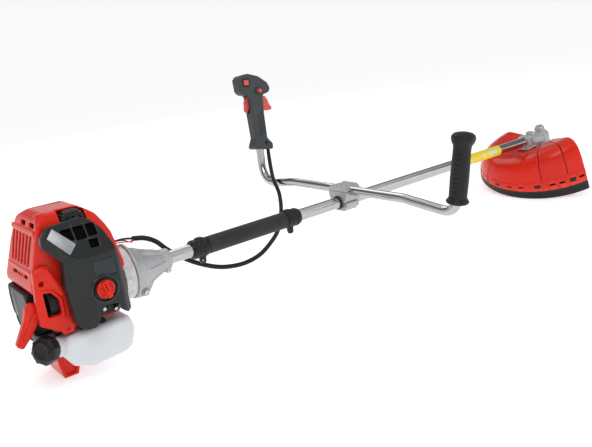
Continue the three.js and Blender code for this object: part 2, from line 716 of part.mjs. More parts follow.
function buildThrottleHandle() {
  standOnUpright(throttleGroup, 1, THROTTLE_BASE);
  const shell = prism("y", HANDLE_OUTLINE, -HANDLE_HALF, HANDLE_HALF, { round: 6, roundSteps: 2 });
  const barSocket = rod("z", BAR_R + 1, -30, UPRIGHT_LEFT - THROTTLE_BASE + 3);
  const triggerSlot = box(6, 60, -6, 6, 90, 140);
  const leverSlot = box(-50, -15, -5, 5, 90, 138.5);
  const rockerWell = box(ROCKER.x - 9, ROCKER.x + 9, -30, -9, ROCKER.z - 8, ROCKER.z + 8);
  const buttonWell = rod("y", 8, -30, -7, BUTTON);
  const cableOutlet = rod("z", SLEEVE_R + 1.2, -30, 2, { x: 28 });
  const body = cut(shell, barSocket, triggerSlot, leverSlot, rockerWell, buttonWell, cableOutlet);
  add("throttle_handle", body, HANDLE_GREY, throttleGroup);

  const trigger = prism("y", TRIGGER_OUTLINE, -5, 5);
  const hub = rod("y", 5, -5, 5, { ...TRIGGER_PIVOT, sides: 16 });
  const web = prism("y", [[12, 128], [15, 137], [30, 131], [22, 120]], -5, 5);
  add("throttle_trigger", join(trigger, hub, web), RED, throttleGroup);

  const lever = prism("y", [[-18, 138], [-24, 136], [-35, 122], [-37, 95], [-31, 92], [-21, 104]], -4, 4);
  add("lockout_lever", lever, RED, throttleGroup);

  const rockerShape = [[-8, -21.5], [8, -18.5], [8, -11], [-8, -11]];
  const rocker = prism("z", rockerShape.map(([x, y]) => [x + ROCKER.x, y]), ROCKER.z - 7, ROCKER.z + 7);
  add("stop_switch", rocker, RED, throttleGroup);

  const button = rod("y", 7.2, -29, -13, { ...BUTTON, sides: 20 });
  add("lock_button", button, RED, throttleGroup);
}

// ---------- throttle cable ----------
function handlePoint(x, y, z) {
  throttleGroup.updateMatrix();
  return new THREE.Vector3(x, y, z).applyMatrix4(throttleGroup.matrix).toArray();
}

function buildCable() {
  const sleeveRoute = [
    handlePoint(28, 0, 0), handlePoint(28, 0, -24),
    [592, 302, 54], [572, 268, 30], [564, 240, 0], [526, 188, -38], [469, 133, -66], [410, 99, -84],
    [362, 76, -91], [303, 57, -89], [241, 46, -75], [188, 40, -50], [146, 36, -22],
    [112, 38, 8], [92, 38, 30], [66, 33, 46], [38, 27, 54],
  ];
  add("cable_sleeve", sweep(curveThrough(sleeveRoute), SLEEVE_R, 40, 8), RUBBER);
  const cableRoute = [[37.4, 26.9, 54.2], [20, 23, 59], [0, 20, 61], [-20, 19, 60], [-34, 19, 58]];
  add("throttle_cable", sweep(curveThrough(cableRoute), CABLE_R, 8, 8), BLACK);
  const wires = [
    ["kill_wire_red", RED, [[36.0, 23, 53.4], [31, 16, 50], [24, 7, 54], [12, 3, 58], [-2, 5, 60], [-12, 8, 60]]],
    ["kill_wire_black", BLACK, [[35.6, 27.5, 50], [28, 22, 50], [16, 13, 58], [2, 11, 62], [-12, 12, 62]]],
  ];
  for (const [name, surface, route] of wires) {
    add(name, sweep(curveThrough(route), WIRE_R, 12, 6), surface);
  }
}

// ---------- gear head ----------
const headTurn = new THREE.Matrix4().makeRotationY(-HEAD_TILT);
const headFrame = new THREE.Matrix4().makeTranslation(HEAD_X, 0, 0).multiply(headTurn);
const intoHead = headFrame.clone().invert();

// A solid given along the tube, seen from the gear head's own tilted frame.
function fromTube(body) {
  return solid(geometryOf(body).applyMatrix4(intoHead));
}

function buildGearHead() {
  headGroup.applyMatrix4(headFrame);
  const neck = fromTube(rod("x", 19, 1360, 1420));
  const ball = solid(new THREE.SphereGeometry(25.5, 14, 8));
  const boss = rod("z", 24, -46, 0);
  const top = lathe("z", [[0, 0], [0, 15], [32, 14], [36, 9], [36, 0]]);
  const clampEar = fromTube(box(1362, 1382, -7, 7, 12, 27));
  const casing = cut(
    join(neck, ball, boss, top, clampEar),
    fromTube(rod("x", TUBE_R + GAP, 1300, 1397)),
    fromTube(rod("x", 13.5, 1390, 1432)),
    rod("z", 20.5, -32, 0),
    rod("z", 8 + GAP, -60, 0),
  );
  add("gear_case", casing, CAST, headGroup);
  const pinion = cut(
    lathe("x", [[1409.5, 0], [1409.5, 12], [1421, 8], [1421, 0]]),
    rod("x", SHAFT_R + GAP, 1400, 1409.6),
  );
  add("bevel_pinion", fromTube(pinion), STEEL, headGroup);
  const gear = join(
    lathe("z", [[-20, 0], [-20, 19], [-17, 19], [-11, 13], [-11, 0]]),
    rod("z", 8, -78, -12),
  );
  add("output_shaft", gear, STEEL, headGroup);
}

// ---------- guard ----------
const GUARD_FROM = 74; // angles round the output axis, from straight ahead towards the left
const GUARD_TO = 246;

const SKIRT_TOP_Z = -82;
const SHOULDER_RISE = 21;

// How much the guard's right shoulder stands above its left one, at y and z.
function shoulderRise(y, z) {
  const outward = Math.max(0, Math.min(1, (-y - 24) / 148));
  const upward = Math.max(0, Math.min(1, (z - SKIRT_TOP_Z) / 60));
  return SHOULDER_RISE * outward ** 0.8 * upward;
}

// The guard is deeper on its right side than on its left.
function taper(body) {
  const geometry = geometryOf(body);
  const position = geometry.getAttribute("position");
  for (let i = 0; i < position.count; i++) {
    const y = position.getY(i);
    const z = position.getZ(i);
    const scaled = GUARD_TAPER_Z + (z - GUARD_TAPER_Z) * (1 - GUARD_TAPER * y);
    position.setZ(i, scaled + shoulderRise(y, z));
  }
  return solid(geometry);
}

function wedge(from, to, radius, z0, z1) {
  const outline = [[0, 0]];
  const steps = 12;
  for (let i = 0; i <= steps; i++) {
    const angle = THREE.MathUtils.degToRad(from + ((to - from) * i) / steps);
    outline.push([radius * Math.cos(angle), radius * Math.sin(angle)]);
  }
  return prism("z", outline, z0, z1);
}

function buildGuard() {
  const around = { sides: 40 };
  const topSkin = [
    [-4, 64], [-2, 96], [4, 150], [-4, 172], [-22, 188], [-48, 198], [SKIRT_TOP_Z, 204.5],
  ];
  const underSkin = topSkin.map(([z, r]) => [z - 3, r - 3]).reverse();
  underSkin[0] = [SKIRT_TOP_Z, 201.5];
  const profile = [...topSkin, ...underSkin, topSkin[0]];
  const dome = common(lathe("z", profile, around), wedge(GUARD_FROM, GUARD_TO, 300, -120, 20));
  const slots = [];
  for (let angle = 84; angle <= 238; angle += 14) {
    const geometry = new THREE.BoxGeometry(40, 18, 5);
    geometry.translate(196, 0, SKIRT_TOP_Z + 12);
    geometry.rotateZ(THREE.MathUtils.degToRad(angle));
    slots.push(solid(geometry));
  }
  const neckRoom = fromTube(rod("x", 19 + RUN, 1250, 1440));
  const pad = cut(box(-98, -66, -22, 22, -9, 1), neckRoom);
  add("guard", cut(join(taper(cut(dome, ...slots)), pad), neckRoom), RED, headGroup);

  const skirtProfile = [
    [SKIRT_TOP_Z - GAP, 202], [SKIRT_TOP_Z - GAP, 206], [-GUARD_DROP, GUARD_R],
    [-GUARD_DROP, 203.5], [SKIRT_TOP_Z - GAP, 202],
  ];
  const skirt = common(
    lathe("z", skirtProfile, around),
    wedge(GUARD_FROM + 2, GUARD_TO, 300, -120, 20),
  );
  add("guard_skirt", taper(skirt), BLACK, headGroup);

  const angle = THREE.MathUtils.degToRad(238);
  const blade = new THREE.BoxGeometry(24, 26, 2);
  blade.translate(187, 0, -112);
  blade.rotateZ(angle);
  add("line_cutter", solid(blade), STEEL, headGroup);

  const plate = box(-96, -68, -20, 20, 1 + GAP, 5);
  const post = box(-93, -70, -17, 17, 3, 40);
  const saddle = cut(join(plate, post), fromTube(rod("x", TUBE_R + GAP, 1250, 1390)));
  const clear = fromTube(rod("x", 19 + GAP, 1359, 1440));
  add("guard_bracket", cut(saddle, clear), CAST, headGroup);
}

// ---------- line head ----------
const LINE_TURN = THREE.MathUtils.degToRad(55); // where the head has come to rest

function buildLineHead() {
  const housing = cut(
    lathe("z", [[-56, 0], [-56, 24], [-62, 50], [-84, 54], [-84, 0]]),
    rod("z", 8 + GAP, -80, -40),
    rod("z", 48, -90, -66),
  );
  add("line_head_housing", housing, BLACK, headGroup);
  const spool = cut(
    join(rod("z", 44, -75, -72), rod("z", 26, -104, -73), rod("z", 44, -96, -93)),
    rod("z", 8 + RUN, -90, -60),
  );
  add("line_spool", spool, RED, headGroup);
  const cover = cut(
    lathe("z", [[-84 - GAP, 0], [-84 - GAP, 54], [-100, 50], [-106, 30], [-106, 0]]),
    rod("z", 46, -98, -80),
    rod("z", 27, -120, -90),
  );
  const lines = [];
  const turned = (body) => solid(geometryOf(body).rotateZ(LINE_TURN));
  for (const [name, side] of [["trimmer_line_a", 1], ["trimmer_line_b", -1]]) {
    const hole = { y: 0, z: -90, sides: 8 };
    lines.push(turned(rod("x", 1.5, Math.min(side * 45, side * 60), Math.max(side * 45, side * 60), hole)));
    const strand = rod("x", 1.2, Math.min(side * 47, side * 172), Math.max(side * 47, side * 172), hole);
    add(name, turned(strand), NYLON, headGroup);
  }
  add("line_head_cover", cut(cover, ...lines), BLACK, headGroup);
  const knob = lathe("z", [[-104.6, 0], [-104.6, 24], [-114, 23], [-119, 16], [-119, 0]]);
  add("bump_knob", knob, RED, headGroup);
}

buildGearHead();
buildGuard();
buildLineHead();
buildClutch();
buildEngineCore();
buildIntakeAndExhaust();
buildShroud();
buildSideFrame();
buildAirCover();
buildStarter();
buildStarterGrip();
buildTank();
buildTube();
buildHandlebar();
buildPlainGrip();
buildThrottleHandle();
buildCable();

// The foot reaches the ground that the guard's skirt stands on.
trimmer.updateMatrixWorld(true);
const skirtBox = new THREE.Box3().setFromObject(trimmer.getObjectByName("guard_skirt"), true);
buildFoot(skirtBox.min.z);

// ---------- origin at the middle of the footprint, on the ground ----------
const CORDS = ["cable_sleeve", "throttle_cable", "kill_wire_red", "kill_wire_black"];
trimmer.updateMatrixWorld(true);
const extent = new THREE.Box3();
trimmer.traverse((object) => {
  if (object.isMesh && !CORDS.includes(object.name)) extent.expandByObject(object, true);
});
const middle = extent.getCenter(new THREE.Vector3());
trimmer.position.set(-middle.x, -middle.y, -extent.min.z);

export default trimmer;
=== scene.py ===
"""Looks of the petrol string trimmer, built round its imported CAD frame.

Pieces are made in millimetres in the part's own drawing frame (X along the drive tube, Y left, Z up,
the tube's axis at Y = Z = 0) and are then set into the row's frame, in metres.
"""
import json
import math

import bmesh
import bpy
from mathutils import Matrix, Vector


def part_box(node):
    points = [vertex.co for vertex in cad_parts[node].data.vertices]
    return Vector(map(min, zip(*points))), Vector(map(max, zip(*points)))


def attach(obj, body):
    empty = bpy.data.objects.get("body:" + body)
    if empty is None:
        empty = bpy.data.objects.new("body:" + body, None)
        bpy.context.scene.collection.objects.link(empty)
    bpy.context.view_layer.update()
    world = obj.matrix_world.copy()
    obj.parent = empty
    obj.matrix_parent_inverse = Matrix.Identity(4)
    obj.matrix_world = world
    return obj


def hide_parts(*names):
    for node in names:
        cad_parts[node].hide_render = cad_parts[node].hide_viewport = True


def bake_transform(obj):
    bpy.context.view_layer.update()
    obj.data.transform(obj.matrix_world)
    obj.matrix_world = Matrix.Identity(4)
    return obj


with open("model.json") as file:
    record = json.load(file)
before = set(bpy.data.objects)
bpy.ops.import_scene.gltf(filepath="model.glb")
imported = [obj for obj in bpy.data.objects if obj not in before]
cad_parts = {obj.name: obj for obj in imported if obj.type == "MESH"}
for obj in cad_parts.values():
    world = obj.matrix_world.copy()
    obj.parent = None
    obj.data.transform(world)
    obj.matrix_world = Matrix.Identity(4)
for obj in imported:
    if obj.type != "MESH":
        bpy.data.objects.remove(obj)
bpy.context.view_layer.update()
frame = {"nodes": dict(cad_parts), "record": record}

MM = 0.001
TUBE_R = 14
TUBE_BORE_R = 12.5
CLEARANCE = 0.3
TUBE_START_X = 48.5
TUBE_END_X = 1396
SHARP_ANGLE = math.radians(38)


# ---------- places: each frame turns millimetres of a sub-part into the row's frame ----------
def tube_origin():
    low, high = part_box("drive_tube")
    return Vector((low.x - TUBE_START_X * MM, (low.y + high.y) / 2, (low.z + high.z) / 2))


ORIGIN = tube_origin()


def framed(origin, forward, left, up):
    """A frame whose own X, Y and Z run along three directions of the drawing frame."""
    turn = Matrix((forward, left, up)).transposed().to_4x4()
    return Matrix.Translation(ORIGIN + Vector(origin) * MM) @ turn @ Matrix.Scale(MM, 4)


def along(origin, direction):
    """A frame whose own Z runs along a direction."""
    turn = Vector((0, 0, 1)).rotation_difference(Vector(direction)).to_matrix().to_4x4()
    return Matrix.Translation(ORIGIN + Vector(origin) * MM) @ turn @ Matrix.Scale(MM, 4)


TUBE = along((0, 0, 0), (0, 0, 1))

HEAD_X = 1432
HEAD_TILT = math.radians(16)
HEAD = framed(
    (HEAD_X, 0, 0),
    (math.cos(HEAD_TILT), 0, math.sin(HEAD_TILT)),
    (0, 1, 0),
    (-math.sin(HEAD_TILT), 0, math.cos(HEAD_TILT)),
)

BAR_R = 11
BAR_X = 590
BAR_Z = 27.5
BAR_MID_Y = 196
BAR_CORNER_Y = 344
BAR_CORNER_Z = 10
BAR_LEAN = 0.104
BAR_PITCH = 0.0965
BAR_BENDS = (38, 90, 90, 66)
UPRIGHT_RIGHT = 164
UPRIGHT_LEFT = 176


def upright_point(side, height):
    return Vector((
        BAR_X + BAR_PITCH * height,
        side * (BAR_CORNER_Y + BAR_LEAN * height),
        BAR_CORNER_Z + height,
    ))


def on_upright(side, height):
    up = (upright_point(side, 1) - upright_point(side, 0)).normalized()
    forward = (Vector((1, 0, 0)) - up * up.x).normalized()
    return framed(upright_point(side, height), forward, up.cross(forward), up)


THROTTLE_BASE = 108
THROTTLE = on_upright(1, THROTTLE_BASE)
PLAIN_BASE = 22
PLAIN = on_upright(-1, PLAIN_BASE)
ROPE_R = 1.9
ROPE_FROM = (-184, -60, 24)
ROPE = along(ROPE_FROM, (-0.59, 0, -0.807))
CAP = along((-181, -68, -72), (-0.8, -0.53, 0.28))


# ---------- solids in millimetres ----------
def thing(name, mesh):
    made = bpy.data.objects.new(name, mesh)
    bpy.context.scene.collection.objects.link(made)
    return made


def from_bmesh(bm):
    bmesh.ops.recalc_face_normals(bm, faces=bm.faces)
    mesh = bpy.data.meshes.new("solid")
    bm.to_mesh(mesh)
    bm.free()
    return thing("solid", mesh)


def bake(made):
    """Applies an object's modifiers to its mesh."""
    depsgraph = bpy.context.evaluated_depsgraph_get()
    mesh = bpy.data.meshes.new_from_object(made.evaluated_get(depsgraph))
    made.modifiers.clear()
    made.data = mesh
    return made


def combine(first, others, operation):
    for other in others:
        step = first.modifiers.new("combine", "BOOLEAN")
        step.object = other
        step.operation = operation
        step.solver = "MANIFOLD"
        bake(first)
        bpy.data.objects.remove(other)
    return first


def union(first, *others):
    return combine(first, others, "UNION")


def minus(first, *others):
    return combine(first, others, "DIFFERENCE")


def both(first, *others):
    return combine(first, others, "INTERSECT")


def copy_of(made):
    return thing("solid", made.data.copy())


def melted(made, voxel, rounds, keep=0.4):
    """Softens every edge the way moulding does, then drops the points that flat areas don't need."""
    remesh = made.modifiers.new("remesh", "REMESH")
    remesh.mode = "VOXEL"
    remesh.voxel_size = voxel
    smooth = made.modifiers.new("smooth", "SMOOTH")
    smooth.factor = 0.5
    smooth.iterations = rounds
    bake(made)
    if keep < 1:
        thin = made.modifiers.new("thin", "DECIMATE")
        thin.ratio = keep
        bake(made)
    return made


def bevelled(made, width, segments=3, angle=32):
    step = made.modifiers.new("bevel", "BEVEL")
    step.width = width
    step.segments = segments
    step.limit_method = "ANGLE"
    step.angle_limit = math.radians(angle)
    return bake(made)


def box(x0, x1, y0, y1, z0, z1):
    bm = bmesh.new()
    corners = [bm.verts.new((x, y, z)) for x in (x0, x1) for y in (y0, y1) for z in (z0, z1)]
    for face in ((0, 1, 3, 2), (4, 6, 7, 5), (0, 4, 5, 1), (2, 3, 7, 6), (0, 2, 6, 4), (1, 5, 7, 3)):
        bm.faces.new([corners[i] for i in face])
    return from_bmesh(bm)


def on_axis(axis, a, b, height):
    """A point a, b across an axis and height along it."""
    return {"x": (height, a, b), "y": (a, height, b), "z": (a, b, height)}[axis]


def between(low_points, high_points):
    """A solid between two outlines with the same number of points."""
    bm = bmesh.new()
    low = [bm.verts.new(point) for point in low_points]
    high = [bm.verts.new(point) for point in high_points]
    bm.faces.new(low)
    bm.faces.new(high[::-1])
    for i in range(len(low)):
        j = (i + 1) % len(low)
        bm.faces.new((low[i], high[i], high[j], low[j]))
    return from_bmesh(bm)


def prism(axis, outline, start, end):
    """An outline of [a, b] points pushed along an axis."""
    return between(*([on_axis(axis, a, b, place) for a, b in outline] for place in (start, end)))


def oblong(a0, a1, b0, b1):
    """The corners of a rectangle."""
    return [(a0, b0), (a1, b0), (a1, b1), (a0, b1)]


def moved(solid, matrix):
    solid.data.transform(matrix)
    return solid


def spun(solid, angle, axis="Z"):
    """A solid turned about an axis through its frame's origin, by an angle in radians."""
    return moved(solid, Matrix.Rotation(angle, 4, axis))


def lathe(axis, profile, at=(0, 0, 0), sides=64):
    """A closed [height, radius] profile turned about an axis. A radius of 0 is a point on the axis."""
    bm = bmesh.new()
    rings = []
    for height, radius in profile:
        if radius == 0:
            rings.append([bm.verts.new(on_axis(axis, 0, 0, height))] * sides)
            continue
        ring = []
        for k in range(sides):
            angle = 2 * math.pi * k / sides
            point = on_axis(axis, radius * math.cos(angle), radius * math.sin(angle), height)
            ring.append(bm.verts.new(point))
        rings.append(ring)
    open_ends = profile[0][1] == 0
    pairs = list(zip(rings, rings[1:])) + ([] if open_ends else [(rings[-1], rings[0])])
    for below, above in pairs:
        for k in range(sides):
            n = (k + 1) % sides
            corners = []
            for corner in (below[k], below[n], above[n], above[k]):
                if corner not in corners:
                    corners.append(corner)
            if len(corners) > 2:
                bm.faces.new(corners)
    bm.transform(Matrix.Translation(at))
    return from_bmesh(bm)


def rod(axis, radius, start, end, at=(0, 0, 0), sides=48, edge=0.0):
    """A round bar, with its end edges eased where edge is given."""
    if edge == 0:
        return lathe(axis, [(start, 0), (start, radius), (end, radius), (end, 0)], at, sides)
    ease = min(edge, radius * 0.9)
    return lathe(axis, [
        (start, 0), (start, radius - ease), (start + ease, radius),
        (end - ease, radius), (end, radius - ease), (end, 0),
    ], at, sides)


def ring(axis, outer, inner, start, end, at=(0, 0, 0), sides=64, edge=0.4):
    profile = [
        (start, inner), (start, outer - edge), (start + edge, outer),
        (end - edge, outer), (end, outer - edge), (end, inner),
    ]
    return lathe(axis, profile, at, sides)


def filleted(outline, radius, steps=5):
    """The outline with each corner rounded."""
    rounded = []
    points = [Vector(p) for p in outline]
    for i, corner in enumerate(points):
        before = points[i - 1]
        after = points[(i + 1) % len(points)]
        to_before = (before - corner).normalized()
        to_after = (after - corner).normalized()
        half = to_before.angle(to_after, math.pi) / 2
        reach = radius / max(math.tan(half), 1e-3)
        reach = min(reach, (before - corner).length * 0.45, (after - corner).length * 0.45)
        start = corner + to_before * reach
        end = corner + to_after * reach
        for k in range(steps + 1):
            t = k / steps
            rounded.append(tuple(start * (1 - t) ** 2 + corner * 2 * t * (1 - t) + end * t * t))
    return rounded


def shrunk(outline, distance):
    """The outline moved inwards by a distance."""
    points = [Vector(p) for p in outline]
    area = sum(points[i - 1].x * p.y - p.x * points[i - 1].y for i, p in enumerate(points))
    inwards = 1 if area > 0 else -1
    moved = []
    for i, corner in enumerate(points):
        edge_in = (corner - points[i - 1]).normalized()
        edge_out = (points[(i + 1) % len(points)] - corner).normalized()
        normal_in = Vector((-edge_in.y, edge_in.x)) * inwards
        normal_out = Vector((-edge_out.y, edge_out.x)) * inwards
        reach = distance / max(1 + normal_in.dot(normal_out), 0.2)
        moved.append(tuple(corner + (normal_in + normal_out) * reach))
    return moved


def skin(bm, rings):
    """Joins each ring of points to the next one."""
    for below, above in zip(rings, rings[1:]):
        for k in range(len(below)):
            n = (k + 1) % len(below)
            bm.faces.new((below[k], below[n], above[n], above[k]))


def swept(path, radius_at, sides=24):
    """A round bar along a list of points. radius_at takes the distance along the path.

    The rings keep their turn from one point to the next, starting from Z. A path that starts straight
    along Z gives rings without width, as starter_rope_run has.
    """
    bm = bmesh.new()
    travelled = 0.0
    side = Vector((0, 0, 1))
    rings = []
    for i, point in enumerate(path):
        ahead = path[min(i + 1, len(path) - 1)]
        behind = path[max(i - 1, 0)]
        heading = (ahead - behind).normalized()
        side = (side - heading * side.dot(heading)).normalized()
        across = heading.cross(side)
        if i:
            travelled += (point - path[i - 1]).length
        radius = radius_at(travelled)
        rings.append([
            bm.verts.new(point + (side * math.cos(a) + across * math.sin(a)) * radius)
            for a in (2 * math.pi * k / sides for k in range(sides))
        ])
    skin(bm, rings)
    bm.faces.new(rings[0][::-1])
    bm.faces.new(rings[-1])
    return from_bmesh(bm)


def bent(points, bends, steps=18, run=12):
    """Points along straight runs joined by rounded corners, one radius for each corner."""
    path = []
    start = Vector(points[0])
    for i in range(1, len(points) - 1):
        bend = bends[i - 1]
        corner = Vector(points[i])
        before = (corner - Vector(points[i - 1])).normalized()
        after = (Vector(points[i + 1]) - corner).normalized()
        reach = bend * math.tan(before.angle(after) / 2)
        enter = corner - before * reach
        leave = corner + after * reach
        path += [start.lerp(enter, k / run) for k in range(run)]
        for k in range(steps):
            t = k / steps
            path.append(enter * (1 - t) ** 2 + corner * 2 * t * (1 - t) + leave * t * t)
        start = leave
    end = Vector(points[-1])
    path += [start.lerp(end, k / run) for k in range(run + 1)]
    return path


def smooth_path(points, spacing):
    """Evenly spaced points on a centripetal curve through the given ones."""
    pts = [Vector(p) for p in points]
    pts = [pts[0] * 2 - pts[1]] + pts + [pts[-1] * 2 - pts[-2]]
    dense = []
    for i in range(1, len(pts) - 2):
        p = pts[i - 1:i + 3]
        knots = [0.0]
        for a, b in zip(p, p[1:]):
            knots.append(knots[-1] + math.sqrt((b - a).length))
        for k in range(40):
            t = knots[1] + (knots[2] - knots[1]) * k / 40
            a = [p[j].lerp(p[j + 1], (t - knots[j]) / (knots[j + 1] - knots[j])) for j in range(3)]
            b = [a[j].lerp(a[j + 1], (t - knots[j]) / (knots[j + 2] - knots[j])) for j in range(2)]
            dense.append(b[0].lerp(b[1], (t - knots[1]) / (knots[2] - knots[1])))
    dense.append(pts[-2])
    total = sum((b - a).length for a, b in zip(dense, dense[1:]))
    count = max(int(total / spacing), 2)
    spaced = [dense[0]]
    travelled = 0.0
    for a, b in zip(dense, dense[1:]):
        step = (b - a).length
        while len(spaced) < count and travelled + step >= total * len(spaced) / count:
            spaced.append(a.lerp(b, (total * len(spaced) / count - travelled) / step))
        travelled += step
    spaced.append(dense[-1])
    return spaced


# ---------- materials ----------
class Nodes:
    """A small helper that makes and links shader nodes."""

    def __init__(self, material):
        self.tree = material.node_tree
        self.shader = self.tree.nodes["Principled BSDF"]
        self.place = self.add("ShaderNodeTexCoord").outputs["Object"]

    def add(self, kind, **settings):
        node = self.tree.nodes.new(kind)
        for key, value in settings.items():
            setattr(node, key, value)
        return node

    def link(self, output, target):
        self.tree.links.new(output, target)

    def noise(self, scale, detail=3.0, stretch=None):
        texture = self.add("ShaderNodeTexNoise")
        texture.inputs["Scale"].default_value = scale
        texture.inputs["Detail"].default_value = detail
        source = self.place
        if stretch:
            mapping = self.add("ShaderNodeMapping")
            mapping.inputs["Scale"].default_value = stretch
            self.link(source, mapping.inputs["Vector"])
            source = mapping.outputs["Vector"]
        self.link(source, texture.inputs["Vector"])
        return texture.outputs["Fac"]

    def ramp(self, factor, low, high, start=0.3, end=0.7):
        ramp = self.add("ShaderNodeValToRGB")
        ramp.color_ramp.elements[0].position = start
        ramp.color_ramp.elements[1].position = end
        ramp.color_ramp.elements[0].color = (*low, 1)
        ramp.color_ramp.elements[1].color = (*high, 1)
        self.link(factor, ramp.inputs["Fac"])
        return ramp.outputs["Color"]

    def ranged(self, factor, low, high):
        mapped = self.add("ShaderNodeMapRange")
        mapped.inputs["To Min"].default_value = low
        mapped.inputs["To Max"].default_value = high
        self.link(factor, mapped.inputs["Value"])
        return mapped.outputs["Result"]

    def mixed(self, factor, first, second, blend="MIX"):
        mix = self.add("ShaderNodeMix", data_type="RGBA", blend_type=blend)
        for value, name in ((first, "A"), (second, "B")):
            socket = [s for s in mix.inputs if s.name == name and s.type == "RGBA"][0]
            if isinstance(value, tuple):
                socket.default_value = (*value, 1)
            else:
                self.link(value, socket)
        if isinstance(factor, (int, float)):
            mix.inputs["Factor"].default_value = factor
        else:
            self.link(factor, mix.inputs["Factor"])
        return [s for s in mix.outputs if s.type == "RGBA"][0]

    def bump(self, height, depth_mm):
        node = self.add("ShaderNodeBump")
        node.inputs["Strength"].default_value = 1.0
        node.inputs["Distance"].default_value = depth_mm * MM
        self.link(height, node.inputs["Height"])
        return node.outputs["Normal"]


COAT_ROUGHNESS = 0.12
BASE_IOR = 1.5
WEAR_STARTS_AT = 0.515
WEAR_FULL_AT = 0.60


def shades(color, spread):
    """A darker and a lighter form of a colour."""
    return tuple(c * (1 - spread) for c in color), tuple(min(c * (1 + spread), 1) for c in color)


def surface(
    name, color, rough, metal=0.0, grain=900.0, grain_depth=0.02, mottle=12.0, spread=0.08,
    wear=None, coat=0.0, stretch=None, rough_spread=0.06, **uniform,
):
    """A moulded, cast or machined surface: mottled colour, fine grain, uneven gloss and worn edges."""
    material = bpy.data.materials.new(name)
    material.use_nodes = True
    nodes = Nodes(material)
    shader = nodes.shader
    low, high = shades(color, spread)
    paint = nodes.ramp(nodes.noise(mottle, 5.0), low, high)
    if wear:
        edge = nodes.add("ShaderNodeNewGeometry").outputs["Pointiness"]
        worn = nodes.ramp(edge, (0, 0, 0), (1, 1, 1), WEAR_STARTS_AT, WEAR_FULL_AT)
        patchy = nodes.mixed(1.0, worn, nodes.ramp(nodes.noise(60.0), (0.2,) * 3, (1,) * 3), "MULTIPLY")
        paint = nodes.mixed(patchy, paint, wear)
    nodes.link(paint, shader.inputs["Base Color"])
    gloss = nodes.ranged(nodes.noise(35.0, 4.0), rough - rough_spread, rough + rough_spread)
    nodes.link(gloss, shader.inputs["Roughness"])
    nodes.link(nodes.bump(nodes.noise(grain, 2.0, stretch), grain_depth), shader.inputs["Normal"])
    shader.inputs["Metallic"].default_value = metal
    shader.inputs["Coat Weight"].default_value = coat
    shader.inputs["Coat Roughness"].default_value = COAT_ROUGHNESS
    shader.inputs["IOR"].default_value = BASE_IOR
    for key, value in uniform.items():
        shader.inputs[key.replace("_", " ")].default_value = value
    material.diffuse_color = (*color, 1)
    return material


RED = surface(
    "red_moulding", (0.68, 0.016, 0.004), 0.26, wear=(0.76, 0.07, 0.035), coat=0.08, grain_depth=0.012,
    Specular_IOR_Level=0.22,
)
GUARD_RED = surface(
    "red_guard", (0.66, 0.015, 0.004), 0.24, wear=(0.74, 0.08, 0.045), coat=0.1, mottle=6.0, spread=0.12,
    Specular_IOR_Level=0.22,
)
CHARCOAL = surface(
    "charcoal_moulding", (0.015, 0.018, 0.018), 0.28, wear=(0.10, 0.11, 0.11), grain=1400.0, grain_depth=0.03,
    Specular_IOR_Level=0.28,
)
BLACK = surface(
    "black_moulding", (0.008, 0.008, 0.009), 0.36, wear=(0.05, 0.05, 0.05), grain=1500.0, grain_depth=0.03,
    Specular_IOR_Level=0.3,
)
GREY = surface(
    "grey_moulding", (0.046, 0.053, 0.057), 0.50, wear=(0.13, 0.14, 0.14), grain=1600.0, grain_depth=0.05,
    Specular_IOR_Level=0.3,
)
RUBBER = surface(
    "rubber", (0.008, 0.009, 0.010), 0.50, wear=(0.03, 0.03, 0.03), grain=700.0, grain_depth=0.06,
    Specular_IOR_Level=0.3,
)
FOAM = surface(
    "foam_rubber", (0.020, 0.022, 0.024), 0.70, grain=2600.0, grain_depth=0.16, spread=0.18, Sheen_Weight=0.1,
    Specular_IOR_Level=0.3,
)
TANK = surface(
    "milky_tank", (0.66, 0.68, 0.71), 0.38, mottle=9.0, spread=0.03, grain=300.0, grain_depth=0.05,
    Subsurface_Weight=0.35, Subsurface_Radius=(0.02, 0.02, 0.022), Subsurface_Scale=0.4,
)
CAST = surface(
    "cast_alloy", (0.43, 0.44, 0.45), 0.50, metal=0.55, grain=650.0, grain_depth=0.10, spread=0.10,
    wear=(0.70, 0.70, 0.71),
)
BRIGHT = surface(
    "drawn_bright_tube", (0.47, 0.48, 0.49), 0.17, metal=1.0, grain=60.0, grain_depth=0.010,
    stretch=(0.02, 6.0, 6.0), spread=0.04, mottle=30.0, rough_spread=0.04,
)
STEEL = surface("machined_steel", (0.46, 0.47, 0.48), 0.33, metal=1.0, grain_depth=0.03, spread=0.10)
ZINC = surface("zinc_screw", (0.62, 0.62, 0.60), 0.30, metal=1.0, grain=1200.0, grain_depth=0.02, spread=0.08)
BRONZE = surface(
    "sintered_bronze", (0.50, 0.33, 0.12), 0.40, metal=1.0, grain=1500.0, grain_depth=0.05, spread=0.12,
)
PAPER = surface(
    "filter_paper", (0.72, 0.66, 0.50), 0.85, grain=120.0, grain_depth=0.6, stretch=(8.0, 0.2, 0.2),
)
NYLON = surface("cutting_line", (0.70, 0.52, 0.04), 0.30, grain=300.0, grain_depth=0.03)
SILVER_TRIM = surface("silver_trim", (0.34, 0.36, 0.37), 0.32, metal=0.4, grain=1800.0, grain_depth=0.02)
DARK_PLATE = surface(
    "dark_plate", (0.018, 0.026, 0.032), 0.32, coat=0.1, grain=200.0, grain_depth=0.01, spread=0.25,
    Specular_IOR_Level=0.3,
)
PALE_PRINT = surface("pale_print", (0.62, 0.72, 0.66), 0.42, grain=900.0, grain_depth=0.01)
YELLOW = surface(
    "yellow_film", (0.86, 0.66, 0.030), 0.33, coat=0.4, grain=500.0, grain_depth=0.01, spread=0.05,
)
